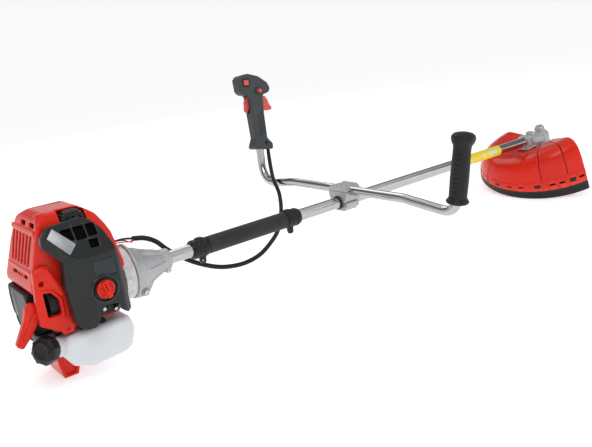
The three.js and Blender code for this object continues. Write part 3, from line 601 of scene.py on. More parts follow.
# Painted shade: a near-black, nearly unreflecting material for sheets and strips set in vents, slots and seam
# grooves where shade falls.
SHADOW = surface("painted_shade_black", (0.004, 0.004, 0.004), 0.85, rough_spread=0.03, Specular_IOR_Level=0.05)
SOFT_RED = surface("red_switch", (0.66, 0.070, 0.065), 0.45, wear=(0.74, 0.20, 0.17), grain=1500.0)

CAD_SURFACES = {
    "cast_alloy": CAST, "steel": STEEL, "black_plastic": BLACK, "filter_paper": PAPER, "red_plastic": RED,
    "charcoal_plastic": CHARCOAL, "rubber": RUBBER, "foam": FOAM, "tank_plastic": TANK, "tube_alloy": BRIGHT,
    "bronze": BRONZE, "label_film": YELLOW, "grey_plastic": GREY, "line_nylon": NYLON,
}
NODE_SLOTS = {row["node"]: row["material_slot"] for row in frame["record"]["subparts"]}
NODE_BODIES = {
    node: body for body, members in frame["record"]["behaviour"]["bodies"].items() for node in members
}


def dress_cad_nodes():
    """Every CAD solid that stays in sight gets its material and smooth round faces."""
    for name, made in frame["nodes"].items():
        made.data.materials.clear()
        made.data.materials.append(CAD_SURFACES[NODE_SLOTS[name]])
        soften(made)


def soften(made):
    made.data.polygons.foreach_set("use_smooth", [True] * len(made.data.polygons))
    made.data.set_sharp_from_angle(angle=SHARP_ANGLE)


def dress(made, name, place, paint):
    """Sets a solid into the row's frame with its name and its material."""
    made.name = name
    made.data.name = name
    made.data.transform(place)
    made.data.materials.clear()
    made.data.materials.append(paint)
    soften(made)


def finish(made, name, place, paint, body="machine"):
    """A named piece that moves with a body and stands for no CAD node."""
    dress(made, name, place, paint)
    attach(made, body)


def stand_in(made, name, place, paint, node):
    """A named piece that takes its CAD node's place, on that node's body."""
    finish(made, name, place, paint, NODE_BODIES[node])
    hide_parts(node)
    return made


# ---------- camera, light and ground ----------
LENS_MM = 41.96
CAMERA_PLACE = (-497, -1251, 417)
FLOOR_R = 40000


def build_studio():
    camera_data = bpy.data.cameras.new("camera")
    camera_data.sensor_width = 36
    camera_data.lens = LENS_MM
    camera_data.clip_end = 100
    camera = thing("camera", camera_data)
    right = Vector((0.7769, -0.6179, -0.1210))
    up = Vector((0.2595, 0.1392, 0.9557))
    ahead = Vector((0.57365, 0.77386, -0.26846))
    turn = Matrix((right, up, -ahead)).transposed().to_4x4()
    camera.matrix_world = Matrix.Translation(ORIGIN + Vector(CAMERA_PLACE) * MM) @ turn
    bpy.context.scene.camera = camera

    bpy.context.scene.view_settings.view_transform = "Standard"
    build_sky()
    lamps = (
        ("key", (-1.6, -1.9, 2.6), (-0.4, 0.0, 0.2), 1.6, 30),
        ("fill", (1.9, -2.4, 1.6), (0.5, 0.0, 0.2), 2.2, 14),
        ("back", (0.6, 2.4, 2.4), (0.1, 0.0, 0.2), 1.8, 16),
    )
    for name, place, target, size, power in lamps:
        light = bpy.data.lights.new(name, "AREA")
        light.size = size
        light.energy = power
        lamp = thing(name, light)
        lamp.location = place
        lamp.rotation_euler = (Vector(target) - Vector(place)).to_track_quat("-Z", "Y").to_euler()

    ground = lathe("z", [(0, 0), (0, FLOOR_R), (-20, FLOOR_R), (-20, 0)], sides=96)
    ground.data.transform(Matrix.Scale(MM, 4))
    ground.name = "studio_floor"
    ground.data.materials.append(surface(
        "studio_floor", (0.86, 0.86, 0.86), 0.9, grain=40.0, spread=0.004,
        Emission_Color=(1, 1, 1, 1), Emission_Strength=0.45,
    ))


def build_sky():
    """White round the horizon, with a darker band overhead that gives bright metal its streaks."""
    world = bpy.data.worlds.new("studio")
    world.use_nodes = True
    tree = world.node_tree
    direction = tree.nodes.new("ShaderNodeTexCoord").outputs["Generated"]
    split = tree.nodes.new("ShaderNodeSeparateXYZ")
    tree.links.new(direction, split.inputs["Vector"])
    ramp = tree.nodes.new("ShaderNodeValToRGB")
    bands = ((0.0, 0.95), (0.16, 0.95), (0.34, 0.16), (0.58, 0.14), (0.72, 0.85), (1.0, 0.75))
    for place, level in bands[1:-1]:
        ramp.color_ramp.elements.new(place)
    for element, (place, level) in zip(ramp.color_ramp.elements, bands):
        element.position = place
        element.color = (level, level, level, 1)
    tree.links.new(split.outputs["Z"], ramp.inputs["Fac"])
    tree.links.new(ramp.outputs["Color"], tree.nodes["Background"].inputs["Color"])
    bpy.context.scene.world = world


# ---------- throttle cable and wires ----------
def throttle_point(x, y, z):
    """A point of the throttle handle's own frame, in the drawing frame."""
    return (TUBE.inverted() @ THROTTLE) @ Vector((x, y, z))


SLEEVE_R = 5.5
RIB = 0.45
RIB_PITCH = 3.4
CABLE_R = 2.2
WIRE_R = 1.2
SLEEVE_ROUTE = [
    throttle_point(28, 0, 0), throttle_point(28, 0, -24),
    (592, 302, 54), (572, 268, 30), (564, 240, 0), (526, 188, -38), (469, 133, -66), (410, 99, -84),
    (362, 76, -91), (303, 57, -89), (241, 46, -75), (188, 40, -50), (146, 36, -22),
    (112, 38, 8), (92, 38, 30), (66, 33, 46), (38, 27, 54),
]
CABLE_ROUTE = [(37.4, 26.9, 54.2), (20, 23, 59), (0, 20, 61), (-20, 19, 60), (-34, 19, 58)]
RED_WIRE_ROUTE = [(36.0, 23, 53.4), (31, 16, 50), (24, 7, 54), (12, 3, 58), (-2, 5, 60), (-12, 8, 60)]
BLACK_WIRE_ROUTE = [(35.6, 27.5, 50), (28, 22, 50), (16, 13, 58), (2, 11, 62), (-12, 12, 62)]


def build_cables():
    path = smooth_path(SLEEVE_ROUTE, RIB_PITCH / 4)

    def ribbed(travelled):
        return SLEEVE_R - RIB + RIB * math.cos(2 * math.pi * travelled / RIB_PITCH)

    sleeve = stand_in(swept(path, ribbed, 16), "cable_conduit", TUBE, RUBBER, "cable_sleeve")
    strands = (
        ("throttle_cable", "throttle_line", CABLE_ROUTE, CABLE_R, BLACK),
        ("kill_wire_red", "stop_wire_red", RED_WIRE_ROUTE, WIRE_R, RED),
        ("kill_wire_black", "stop_wire_black", BLACK_WIRE_ROUTE, WIRE_R, BLACK),
    )
    for node, name, route, radius, paint in strands:
        path = smooth_path(route, 2.0)
        strand = stand_in(swept(path, lambda travelled: radius, 12), name, TUBE, paint, node)


# ---------- engine covers ----------
SHROUD_SIDE = [
    (-52, -46), (-52, 26), (-28, 34), (-28, 47), (-35, 81), (-41, 107), (-50, 126), (-64, 148),
    (-86, 165), (-152, 166),
    (-167, 157), (-201, 44), (-201, 34), (-190, 28), (-190, -24), (-176, -46),
]
SHROUD_END = [
    (-74, -60), (-74, 148), (-62, 170), (18, 170), (50, 152), (68, 112), (77, 56), (77, -60),
]
SHROUD_RIGHT_Y = -74
SHROUD_LEFT_Y = 77
SHROUD_WALL = 4
STARTER_R = 73.5
STARTER_TOP_Z = 30
PLUG_COVER = {"x0": -127, "x1": -83, "y0": -77, "y1": -47, "z0": 138, "z1": 163}


REAR_RUN = 34
REAR_RISE = 113


def rear_x(z):
    """The shroud's sloping rear face."""
    return -201 + (z - 44) * REAR_RUN / REAR_RISE


def build_shroud():
    side = filleted(SHROUD_SIDE, 10)
    end = filleted(SHROUD_END, 18)
    shell = both(prism("y", side, SHROUD_RIGHT_Y, SHROUD_LEFT_Y), prism("x", end, -240, 20))
    shell = melted(bevelled(shell, 6, 3), 2.4, 10, keep=1)
    brow = prism("y", [(rear_x(134) - 2.6, 134), (rear_x(141) - 2.6, 141), (-150, 141), (-150, 134)], -64, 60)
    sill = prism("y", [(rear_x(70) - 2.2, 70), (rear_x(73) - 2.2, 73), (-160, 73), (-160, 70)], -60, 62)
    crest = prism("x", [(-70, 150), (-58, 167.5), (-50, 167.5), (-64, 146)], -166, -128)
    shell = union(shell, brow, sill, crest)
    room = both(
        prism(
            "y", filleted(shrunk(SHROUD_SIDE, SHROUD_WALL), 10),
            SHROUD_RIGHT_Y + SHROUD_WALL, SHROUD_LEFT_Y - SHROUD_WALL,
        ),
        prism("x", filleted(shrunk(SHROUD_END, SHROUD_WALL), 16), -240, 20),
    )
    hollow = bevelled(room, 6, 2)
    starter_room = both(
        rod("x", STARTER_R + 0.6, -225, -180),
        box(-225, -180, -95, 95, -95, STARTER_TOP_Z + 0.5),
    )
    openings = [
        hollow,
        rod("x", STARTER_R + 0.6, -189.4, -150),
        starter_room,
        rod("x", 57, -60, 20),
        rod("x", 5, -40, 20, at=(0, 19, 60), sides=24),
        box(-112, -56, -90, -60, 36, 98),
        box(-186, -163, -90, -60, -12, 34),
        box(-150, -30, -60, 70, -60, -38),
        box(
            PLUG_COVER["x0"] - 1, PLUG_COVER["x1"] + 1, PLUG_COVER["y0"] - 1, PLUG_COVER["y1"] + 1,
            PLUG_COVER["z0"] - 2, 220,
        ),
    ]
    slots = 6
    for i in range(slots):
        y = -46 + i * 17
        lean = 1.6 * (i - (slots - 1) / 2)
        slot = [(y, 78), (y + 9, 78), (y + 9 + lean, 130), (y + lean, 130)]
        openings.append(prism("x", filleted(slot, 3), -220, -158))
    for y in (-58, -12):
        openings.append(prism("x", filleted(oblong(y, y + 24, 144, 152), 2), -220, -155))
    for y, width in ((-46, 20), (-18, 9), (-4, 9), (12, 24)):
        openings.append(box(-225, -170, y, y + width, 57, 62.5))
    for i in range(4):
        x = -128 + i * 20
        openings.append(prism("y", filleted(oblong(x, x + 11, 50, 92), 4), 60, 110))
    shell = melted(minus(shell, *openings), 1.5, 4, keep=0.35)
    stand_in(shell, "shroud_shell", TUBE, RED, "engine_shroud")

    seam = box(-146, -92, 17.6, 18.4, 164.6, 166.0)
    finish(seam, "shroud_parting_line", TUBE, BLACK)


def build_plug_cap():
    cap = PLUG_COVER
    base = filleted(oblong(cap["x0"], cap["x1"], cap["y0"], cap["y1"]), 10)
    layers = [(0, cap["z0"], 152), (3, 151, 157), (7, 156, 161), (11, 160, cap["z1"])]
    body = union(*[prism("z", shrunk(base, inset), low, high) for inset, low, high in layers])
    notches = [box(x, x + 4, cap["y0"] - 2, cap["y0"] + 4, 146, 157) for x in (-118, -107, -96)]
    grip = [
        box(cap["x0"] + 9, cap["x1"] - 9, y, y + 2, cap["z1"] - 1.6, cap["z1"] + 2) for y in (-68, -62, -56)
    ]
    stand_in(melted(minus(body, *notches, *grip), 1.0, 9), "plug_cap_boot", TUBE, BLACK, "plug_cover")


FRAME_OUTLINE = [
    (-196, 79), (-178, 84), (-168, 80), (-146, 22), (-147, -48), (-166, -49), (-171, -40), (-203, -20),
    (-202, 24),
]
FRAME_WINDOW = [(-188, 37), (-174, 34), (-162, 17), (-163, -10), (-187, -9)]


def build_side_frame():
    plate = prism("y", filleted(FRAME_OUTLINE, 5), -84.4, -74.2)
    rim = minus(
        prism("y", filleted(shrunk(FRAME_WINDOW, -5), 4), -86.2, -80),
        prism("y", filleted(FRAME_WINDOW, 3), -100, -60),
    )
    brace_side = [(-196, 76), (-180, 82), (-170, 76), (-150, 24), (-157, 24), (-178, 70)]
    brace = prism("y", filleted(brace_side, 2), -86.4, -80)
    plate = union(plate, brace)
    holes = [
        prism("y", filleted(FRAME_WINDOW, 3), -100, -60),
        prism("y", filleted([(-191, 50), (-183, 48), (-181, 57), (-189, 59)], 2), -100, -60),
        rod("y", 2.5, -100, -80, at=(-157, 0, -40), sides=20),
    ]
    stand_in(melted(union(minus(plate, *holes), rim), 1.0, 4), "side_bracket", TUBE, RED, "side_frame")


# ---------- air cleaner ----------
COVER_OUTLINE = [
    (-160, 148), (-174, 132), (-176, 118), (-150, 86), (-153, 38), (-150, -17), (-147, -34),
    (-134, -41), (-121, -40), (-112, -29), (-108, -13), (-93, -6), (-73, -10), (-67, -26),
    (-57, -34), (-47, -30), (-50, 13), (-53, 72), (-60, 99), (-68, 124), (-84, 144), (-100, 152),
]
COVER_PLAN = [
    (-182, -84), (-177, -96), (-154, -102), (-150, -110), (-143, -117), (-134, -122), (-122, -125),
    (-62, -125), (-46, -112), (-40, -84),
]
COVER_FACE_Y = -125
COVER_WALL = 3.5
SLOPE_RUN = 38
SLOPE_RISE = 66
KNOB = (-93, 0, 24)


def slope_y(z):
    """The cover's sloping upper face."""
    return -122 + (z - 92) * SLOPE_RUN / SLOPE_RISE


def on_slope(outline, low, high):
    """An outline of [x, z] points on the cover's sloping face, from low to high above it."""
    rise = Vector((0, -SLOPE_RISE, SLOPE_RUN)).normalized()
    face = [Vector((x, slope_y(z), z)) for x, z in outline]
    return between([point + rise * low for point in face], [point + rise * high for point in face])


def build_air_cleaner():
    slope = [(-190, 88), (slope_y(92) - 2.3, 88), (slope_y(158), 158), (slope_y(158), 200), (-190, 200)]
    outer = both(
        prism("y", filleted(COVER_OUTLINE, 5), COVER_FACE_Y, -84),
        prism("z", filleted(COVER_PLAN, 14), -60, 170),
    )
    outer = bevelled(minus(outer, prism("x", slope, -260, 0)), 2.5, 2)
    inner_slope = [(y + 4, z - 2) for y, z in slope]
    hollow = both(
        prism("y", shrunk(COVER_OUTLINE, COVER_WALL), COVER_FACE_Y + COVER_WALL, -60),
        prism("z", shrunk(COVER_PLAN, COVER_WALL) + [(-44, -50), (-178, -50)], -60, 170),
    )
    hollow = minus(hollow, prism("x", inner_slope, -260, 0))
    cuts = [hollow]
    for window in ((-139, -121, 119, 139), (-118, -99, 117, 139), (-96, -79, 118, 139)):
        cuts.append(on_slope(filleted(oblong(*window), 2), -6, 8))
    cuts.append(on_slope(filleted([(-100, 100), (-84, 99), (-82, 113), (-99, 114)], 2), -6, 8))
    cuts += [
        box(-107, -65, -127, COVER_FACE_Y + 1.3, 45, 78),
        box(-112, -58, -127, COVER_FACE_Y + 0.9, 40.6, 41.8),
        rod("y", 22.5, -127, COVER_FACE_Y + 1.6, at=KNOB),
        rod("y", 4, -140, -60, at=KNOB),
    ]
    knob_ring = ring("y", 25.5, 22, COVER_FACE_Y - 2.6, COVER_FACE_Y + 2, at=KNOB)
    ribs = [on_slope(oblong(x, x + 2.4, 112, 142), -2, 1.8) for x in (-119.6, -98.4)]
    cover = minus(union(outer, *ribs), *cuts)
    cover = melted(union(cover, knob_ring), 1.1, 4, keep=0.4)
    stand_in(cover, "air_cleaner_cover", TUBE, CHARCOAL, "air_filter_cover")

    panel = on_slope(filleted([(-151, 144), (-122, 112), (-138, 98), (-165, 131)], 1.5), 0.2, 1.6)
    finish(bevelled(panel, 0.5, 2), "cover_silver_panel", TUBE, SILVER_TRIM)
    plate = prism("y", filleted(oblong(-105.5, -66.5, 46.5, 76.5), 2), -124.6, -123.7)
    finish(bevelled(plate, 0.25, 2), "cover_blank_plate", TUBE, DARK_PLATE)

    # Painted shade: a near-black sheet set behind the sloping face's vents, so that they read as deep and
    # dark.
    vent_shade_sheet = on_slope(oblong(-143, -76, 96, 141), -11, -9.5)
    finish(vent_shade_sheet, "cover_vent_painted_shade", TUBE, SHADOW)
    build_bracket_below_cover()

    lean = Matrix.Translation(KNOB) @ Matrix.Rotation(math.radians(-14), 4, "Y")
    disc = rod("y", 16.5, COVER_FACE_Y - 6, COVER_FACE_Y - 0.6, at=KNOB, edge=1.2)
    finger_bar = box(-4.2, 4.2, COVER_FACE_Y - 13, COVER_FACE_Y - 4, -15.5, 15.5)
    groove = box(-1.2, 1.2, COVER_FACE_Y - 14, COVER_FACE_Y - 9, -3, 13)
    hollows = [box(x, x + 6.6, COVER_FACE_Y - 8, COVER_FACE_Y - 3.4, -9, 9) for x in (-12, 5.4)]
    for piece in (finger_bar, groove, *hollows):
        piece.data.transform(lean)
    stem = rod("y", 2.8, COVER_FACE_Y - 2, -75, at=KNOB, sides=24)
    knob = minus(union(disc, finger_bar, stem), groove, *hollows)
    stand_in(melted(knob, 0.55, 4), "cleaner_knob", TUBE, RED, "cover_knob")


def build_bracket_below_cover():
    """The black throttle bracket and its screws, seen in the gap under the cover."""
    plate = prism("y", filleted([(-122, -36), (-58, -40), (-54, 2), (-118, 6)], 4), -83.4, -75)
    lever = prism("y", filleted([(-106, -30), (-92, -34), (-84, -14), (-98, -10)], 4), -96, -90)
    pivot = rod("y", 5, -98, -83, at=(-92, 0, -22), sides=32, edge=1)
    arm = prism("y", filleted([(-84, -24), (-66, -34), (-62, -28), (-80, -16)], 2), -92, -88)
    post = rod("y", 3.4, -95, -83, at=(-70, 0, -29), sides=32)
    bracket = union(plate, lever, pivot, arm, post)
    finish(melted(bracket, 0.9, 3), "throttle_bracket", TUBE, BLACK)
    screws = union(screw_head((-92, -98, -22), 3.4, 2), screw_head((-70, -95, -29), 3.4, 2.4))
    finish(screws, "throttle_bracket_screws", TUBE, ZINC)


# ---------- recoil starter ----------
GRIP_POCKET = {"x": -177, "y": -46, "z0": -46, "z1": 60}
POCKET_WALL = 3


def build_starter():
    dish = lathe("x", [
        (-160, 0), (-160, STARTER_R), (-190, STARTER_R), (-197, STARTER_R - 1.2), (-202, 71), (-205.5, 67),
        (-207.5, 62), (-208, 56), (-206.4, 54), (-206.4, 50), (-208, 48), (-208, 0),
    ], sides=96)
    inside = lathe("x", [
        (-150, 0), (-150, STARTER_R - 3), (-196, STARTER_R - 3), (-203.4, 58), (-203.4, 0),
    ])
    pocket = GRIP_POCKET
    pocket_wall = both(
        copy_of(dish),
        box(
            -230, pocket["x"] + POCKET_WALL, -90, pocket["y"] + POCKET_WALL,
            pocket["z0"] - POCKET_WALL, pocket["z1"] + POCKET_WALL,
        ),
    )
    lid = both(copy_of(dish), box(-230, -189, -90, 90, STARTER_TOP_Z - 3, STARTER_TOP_Z))
    slots = [prism("x", filleted(oblong(14, 46, -28, 24), 4), -215, -206.9)]
    for degrees in (120, 160, 200, 240):
        slots.append(spun(box(-208.5, -203.5, -4, 4, 56, 66), math.radians(degrees), "X"))
    shell = union(minus(dish, inside, *slots), pocket_wall, rod("x", 6, -206, -166, sides=24))
    shell = minus(shell, box(-230, -189, -90, 90, STARTER_TOP_Z, 90))
    shell = union(shell, lid)
    rope_hole = moved(rod("z", 3.4, -40, 30, sides=20), TUBE.inverted() @ ROPE)
    pocket_cut = box(-230, pocket["x"], -90, pocket["y"], pocket["z0"], pocket["z1"])
    shell = minus(shell, pocket_cut, rope_hole)
    stand_in(melted(shell, 1.2, 4, keep=0.35), "starter_case", TUBE, BLACK, "starter_housing")

    plate = prism("x", filleted(oblong(15, 45, -27, 23), 5), -207.6, -206.6)
    finish(bevelled(plate, 0.3, 2), "starter_blank_plate", TUBE, DARK_PLATE)

    outline = [(-3, 13), (15, 15), (20, 28), (13, 50), (7, 94), (-6, 95), (-11, 64), (-11, 42), (-8, 24)]
    paddle = bevelled(prism("y", filleted(outline, 5), -9, 9), 4, 3)
    channel = prism("y", filleted([(-6, 34), (6, 30), (3.5, 80), (-4, 82)], 4), -12, -7.9)
    paddle = minus(paddle, channel, rod("z", 2.4, 0, 22, sides=16))
    stand_in(melted(paddle, 0.8, 5), "starter_pull", ROPE, RED, "starter_grip")
    knot = lathe("z", [(8, 0), (8, 4.2), (11, 4.8), (12.4, 4.4), (12.4, 0)], sides=24)
    finish(knot, "starter_rope_collar", ROPE, BLACK, body="pull_grip")

    rope = swept([Vector((0, 0, z)) for z in range(-15, 20)], lambda travelled: ROPE_R, 12)
    dress(rope, "starter_rope_run", ROPE, RUBBER)
    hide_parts("starter_rope")
    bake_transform(rope)


# ---------- fuel tank ----------
TANK_OUTLINE = [
    (-160, -54), (-172, -64), (-176, -84), (-162, -112), (-127, -126), (-62, -121), (-47, -113),
    (-38, -80), (-44, -52),
]
CAP_R = 23.6
CAP_STEPS = 96
LOBES = 8
LOBE_HEIGHT = 2.6
LOBE_FOOT = -0.3


def build_tank():
    blank = bevelled(prism("y", filleted(TANK_OUTLINE, 14), -92, 88), 13, 4)
    weld = both(
        prism("y", shrunk(filleted(TANK_OUTLINE, 14), -1.0), -3, -1),
        box(-180, -30, -10, 10, -130, -60),
    )
    neck = moved(rod("z", 19, -26, 24), TUBE.inverted() @ CAP)
    mouth = moved(rod("z", 15.5, 0, 60), TUBE.inverted() @ CAP)
    room = rod("x", STARTER_R + 2, -220, -157)
    tank = union(minus(blank, room), neck, weld)
    stand_in(melted(minus(tank, mouth), 1.8, 6, keep=0.4), "tank_shell", TUBE, TANK, "fuel_tank")

    fittings = []
    for x, y in ((-128, -72), (-104, -70), (-92, -74)):
        fittings.append(lathe("z", [
            (-56, 0), (-56, 6.5), (-50.5, 6.5), (-49, 5), (-47, 5), (-45, 3), (-38, 2.6), (-38, 0),
        ], at=(x, y, 0), sides=32))
    finish(union(*fittings), "tank_fittings", TUBE, BLACK)

    rim = []
    for k in range(CAP_STEPS):
        angle = 2 * math.pi * k / CAP_STEPS
        radius = CAP_R + LOBE_HEIGHT * max(math.cos(LOBES * angle), LOBE_FOOT)
        rim.append((radius * math.cos(angle), radius * math.sin(angle)))
    cap = union(
        prism("z", rim, 20, 36),
        lathe("z", [(18, 0), (18, 24), (22, 24), (34, 24.2), (38.5, 22), (41, 16), (41, 0)]),
    )
    dish = lathe("z", [(39.4, 0), (39.4, 11), (41.5, 13), (41.5, 0)])
    spike = rod("z", 15, 10, 30)
    throat = ring("z", 19.4, 15.05, 10, 24.4, edge=0.0)
    cap = union(minus(cap, dish, throat), spike)
    stand_in(melted(cap, 0.8, 5), "tank_cap_knurled", CAP, BLACK, "fuel_cap")


# ---------- foot ----------
def build_foot():
    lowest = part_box("foot_stand")[0]
    floor = (lowest.z - ORIGIN.z) / MM
    side = [
        (-174, -108), (-166, floor), (-138, floor), (-126, -122), (-130, -120), (-143, floor + 5),
        (-161, floor + 5), (-168, -108),
    ]
    runner = prism("y", filleted(side, 3), -20, 54)
    ribs = [
        prism("y", [(-169, -108), (-162, floor + 4), (-142, floor + 4), (-128, -119)], y, y + 4)
        for y in (-14, 11, 36)
    ]
    room = prism("y", shrunk(filleted(TANK_OUTLINE, 14), -0.6), -100, 100)
    stand_in(melted(minus(union(runner, *ribs), room), 1.2, 4), "foot_runner", TUBE, RED, "foot_stand")


# ---------- clutch housing ----------
def build_clutch_housing():
    bell = lathe("x", [
        (0.3, 0), (0.3, 56), (6.5, 56), (7.5, 50), (9, 47.5), (22, 43), (25, 42.8), (27, 41), (44, 33.5),
        (46, 33.6), (48, 32.4), (66, 27), (72, 24), (78, 21.6), (80, 22.6), (93, 21.6), (95, 20), (95, 0),
    ], sides=96)
    ribs = []
    for angle in (35, 90, 145, 200, 325):
        fin = spun(box(8, 78, -2, 2, 20, 40), math.radians(angle), "X")
        ribs.append(both(fin, lathe("x", [(6, 0), (6, 53), (24, 46), (80, 23.5), (80, 0)])))
    web = prism("y", filleted([(8, -40), (62, -26), (40, -56), (30, -60), (10, -60)], 4), -5, 5)
    boss = rod("y", 8, -10, 10, at=(30, 0, -53), sides=40, edge=1)
    lug = prism("y", filleted([(79, -14), (96, -14), (94, -29), (82, -29)], 4), -8, 8)
    shell = union(bell, *ribs, web, boss, lug)
    cuts = [
        box(60, 99, -0.8, 0.8, -32, -10),
        rod("x", 36, -1, 27), rod("x", 9.3, 20, 60, sides=32), rod("x", TUBE_R + 0.35, 48, 120),
        rod("y", 3, -14, 14, at=(30, 0, -53), sides=24),
    ]
    shell = melted(minus(shell, *cuts), 1.4, 4, keep=0.45)
    stand_in(shell, "clutch_bell", TUBE, CAST, "clutch_housing")
    screws = [
        screw_head((30, -10, -53), 5.5, 4),
        screw_head((88, -8, -22), 4.6, 3.6),
    ]
    finish(union(*screws), "clutch_bell_screws", TUBE, ZINC)


def screw_head(at, radius, height):
    """A socket-head screw whose head stands out towards the right."""
    head = lathe("y", [
        (-height, 0), (-height, radius - 0.6), (-height + 0.6, radius), (0.2, radius), (0.2, 0),
    ], at, 32)
    socket = rod("y", radius * 0.5, -height - 1, -height * 0.35, at, sides=6)
    return minus(head, socket)


# ---------- tube, grip, rings and label ----------
GRIP_START_X = 188
GRIP_END_X = 398
GRIP_R = 19
RING_LENGTH = 39
FILM_START_X = 1050
FILM_END_X = 1206
FILM_INNER_R = 14.3
FILM_R = 14.7
PATCH_R = 14.84
SHAFT_START_X = 30
SHAFT_END_X = 1409


def build_tube():
    tube = lathe("x", [
        (TUBE_START_X, TUBE_BORE_R), (TUBE_START_X, TUBE_R), (TUBE_END_X, TUBE_R), (TUBE_END_X, TUBE_BORE_R),
    ], sides=96)
    stand_in(tube, "drive_tube_drawn", TUBE, BRIGHT, "drive_tube")
    shaft = rod("x", 4, SHAFT_START_X, SHAFT_END_X, sides=32)
    stand_in(shaft, "drive_shaft_round", TUBE, STEEL, "drive_shaft")
    foam = lathe("x", [
        (GRIP_START_X, 14.3), (GRIP_START_X, 17.6), (GRIP_START_X + 1.4, GRIP_R),
        (GRIP_END_X - 1.4, GRIP_R), (GRIP_END_X, 17.6), (GRIP_END_X, 14.3),
    ], sides=96)
    stand_in(foam, "foam_sleeve", TUBE, FOAM, "foam_grip")
    film = lathe("x", [
        (FILM_START_X, FILM_INNER_R), (FILM_START_X, FILM_R),
        (FILM_END_X, FILM_R), (FILM_END_X, FILM_INNER_R),
    ], sides=96)
    stand_in(film, "label_wrap", TUBE, YELLOW, "warning_label")
    for i, (start, end) in enumerate(((1118, 1128), (1146, 1186))):
        patch = both(
            lathe("x", [(start, FILM_R), (start, PATCH_R), (end, PATCH_R), (end, FILM_R)], sides=96),
            prism("x", [(0, 0), (-22, 16), (-22, -2)], start - 1, end + 1),
        )
        finish(patch, f"label_patch_{i + 1}", TUBE, PALE_PRINT)
    for name, piece, start, lug in (
        ("strap_ring_rear", "strap_ring_a", GRIP_START_X - 0.3 - RING_LENGTH, 22),
        ("strap_ring_front", "strap_ring_b", GRIP_END_X + 0.3, 10),
    ):
        build_strap_ring(name, piece, start, start + lug)


def build_strap_ring(name, piece, x, lug_x):
    collar = lathe("x", [
        (x, 0), (x, 18.4), (x + 1.2, 20.4), (x + 9, 21), (x + 10, 19.6), (x + 12, 19.2), (x + 13, 20.8),
        (x + 21, 20.8), (x + 22, 19.4), (x + 24, 19.2), (x + 25, 21), (x + 33, 21), (x + 34.4, 19.2),
        (x + RING_LENGTH - 1, 19), (x + RING_LENGTH, 18.2), (x + RING_LENGTH, 0),
    ], sides=96)
    ear_side = [(lug_x - 8, -15), (lug_x + 8, -15), (lug_x + 7, -34), (lug_x - 7, -34)]
    ear = prism("y", filleted(ear_side, 6, 8), -8, -1)
    clamp_ear_side = [(lug_x - 9, 14), (lug_x + 9, 14), (lug_x + 7, 23), (lug_x - 7, 23)]
    clamp_ear = prism("y", filleted(clamp_ear_side, 3), -5, 5)
    split = box(x - 1, x + 50, -0.6, 0.6, 12, 30)
    holes = [
        rod("x", TUBE_R + CLEARANCE, x - 5, x + RING_LENGTH + 5),
        rod("y", 3.6, -20, 20, at=(lug_x, 0, -28), sides=40),
    ]
    ring_body = minus(union(collar, ear, clamp_ear), split, *holes)
    stand_in(melted(ring_body, 0.9, 3), piece, TUBE, BLACK, name)
    eyelet = lathe("y", [
        (-8.6, 3.3), (-8.6, 4.9), (-7.6, 5.2), (-1.4, 5.2), (-0.6, 4.9), (-0.6, 3.3),
    ], (lug_x, 0, -28), 40)
    finish(eyelet, piece + "_eyelet", TUBE, BLACK)


# ---------- handlebar, clamp and plain grip ----------
def build_handlebar():
    path = bent([
        upright_point(-1, UPRIGHT_RIGHT), upright_point(-1, 0), Vector((BAR_X, -BAR_MID_Y, BAR_Z)),
        Vector((BAR_X, BAR_MID_Y, BAR_Z)), upright_point(1, 0), upright_point(1, UPRIGHT_LEFT),
    ], BAR_BENDS)
    bar = swept(path, lambda travelled: BAR_R, 40)
    stand_in(bar, "handlebar_drawn", TUBE, BRIGHT, "handlebar")


def build_bar_clamp():
    tube_bore = rod("x", TUBE_R + CLEARANCE, 500, 700, sides=64)
    bar_bore = rod("y", BAR_R + CLEARANCE, -60, 60, at=(BAR_X, 0, BAR_Z), sides=64)
    low = filleted([(-28, -0.3), (-28, -11), (-15, -22), (15, -22), (28, -11), (28, -0.3)], 3)
    middle = filleted([
        (-24, 0.3), (24, 0.3), (32, BAR_Z - 10), (32, BAR_Z - 0.3), (-32, BAR_Z - 0.3), (-32, BAR_Z - 10),
    ], 3)
    high = filleted([
        (-32, BAR_Z + 0.3), (32, BAR_Z + 0.3), (31, BAR_Z + 8), (21, BAR_Z + 14),
        (-21, BAR_Z + 14), (-31, BAR_Z + 8),
    ], 4)
    wells = []
    screws = []
    for x in (BAR_X - 17, BAR_X + 17):
        for y in (-17, 17):
            wells.append(rod("z", 6, BAR_Z + 10, BAR_Z + 30, at=(x, y, 0), sides=32))
            screws.append(lathe("z", [
                (6, 0), (6, 4.4), (15.2, 4.4), (16, 3.8), (16, 2.4), (12, 2.2), (12, 0),
            ], (x, y, BAR_Z), 32))
    lower = minus(prism("x", low, BAR_X - 20, BAR_X + 20), copy_of(tube_bore))
    block = minus(prism("x", middle, BAR_X - 24, BAR_X + 24), tube_bore, copy_of(bar_bore))
    cap = minus(prism("x", high, BAR_X - 24, BAR_X + 24), bar_bore, *wells)
    stand_in(melted(bevelled(lower, 2, 2), 0.9, 4), "clamp_shoe", TUBE, CAST, "bar_clamp_lower")
    stand_in(melted(bevelled(block, 1.5, 2), 0.9, 4), "clamp_block", TUBE, CAST, "bar_clamp_block")
    stand_in(melted(bevelled(cap, 1.5, 2), 0.9, 4), "clamp_cap", TUBE, CAST, "bar_clamp_cap")
    finish(union(*screws), "clamp_screws", TUBE, ZINC)
    bush = lathe("x", [
        (BAR_X - 29, 14.3), (BAR_X - 29, 15.8), (BAR_X - 28, 16.4),
        (BAR_X - 24.3, 16.6), (BAR_X - 24.3, 14.3),
    ], sides=64)
    stand_in(bush, "tube_bush_ring", TUBE, RUBBER, "tube_bush")


FLARE_FROM = 117
FLARE_OVER = 14
FLARE = 0.14


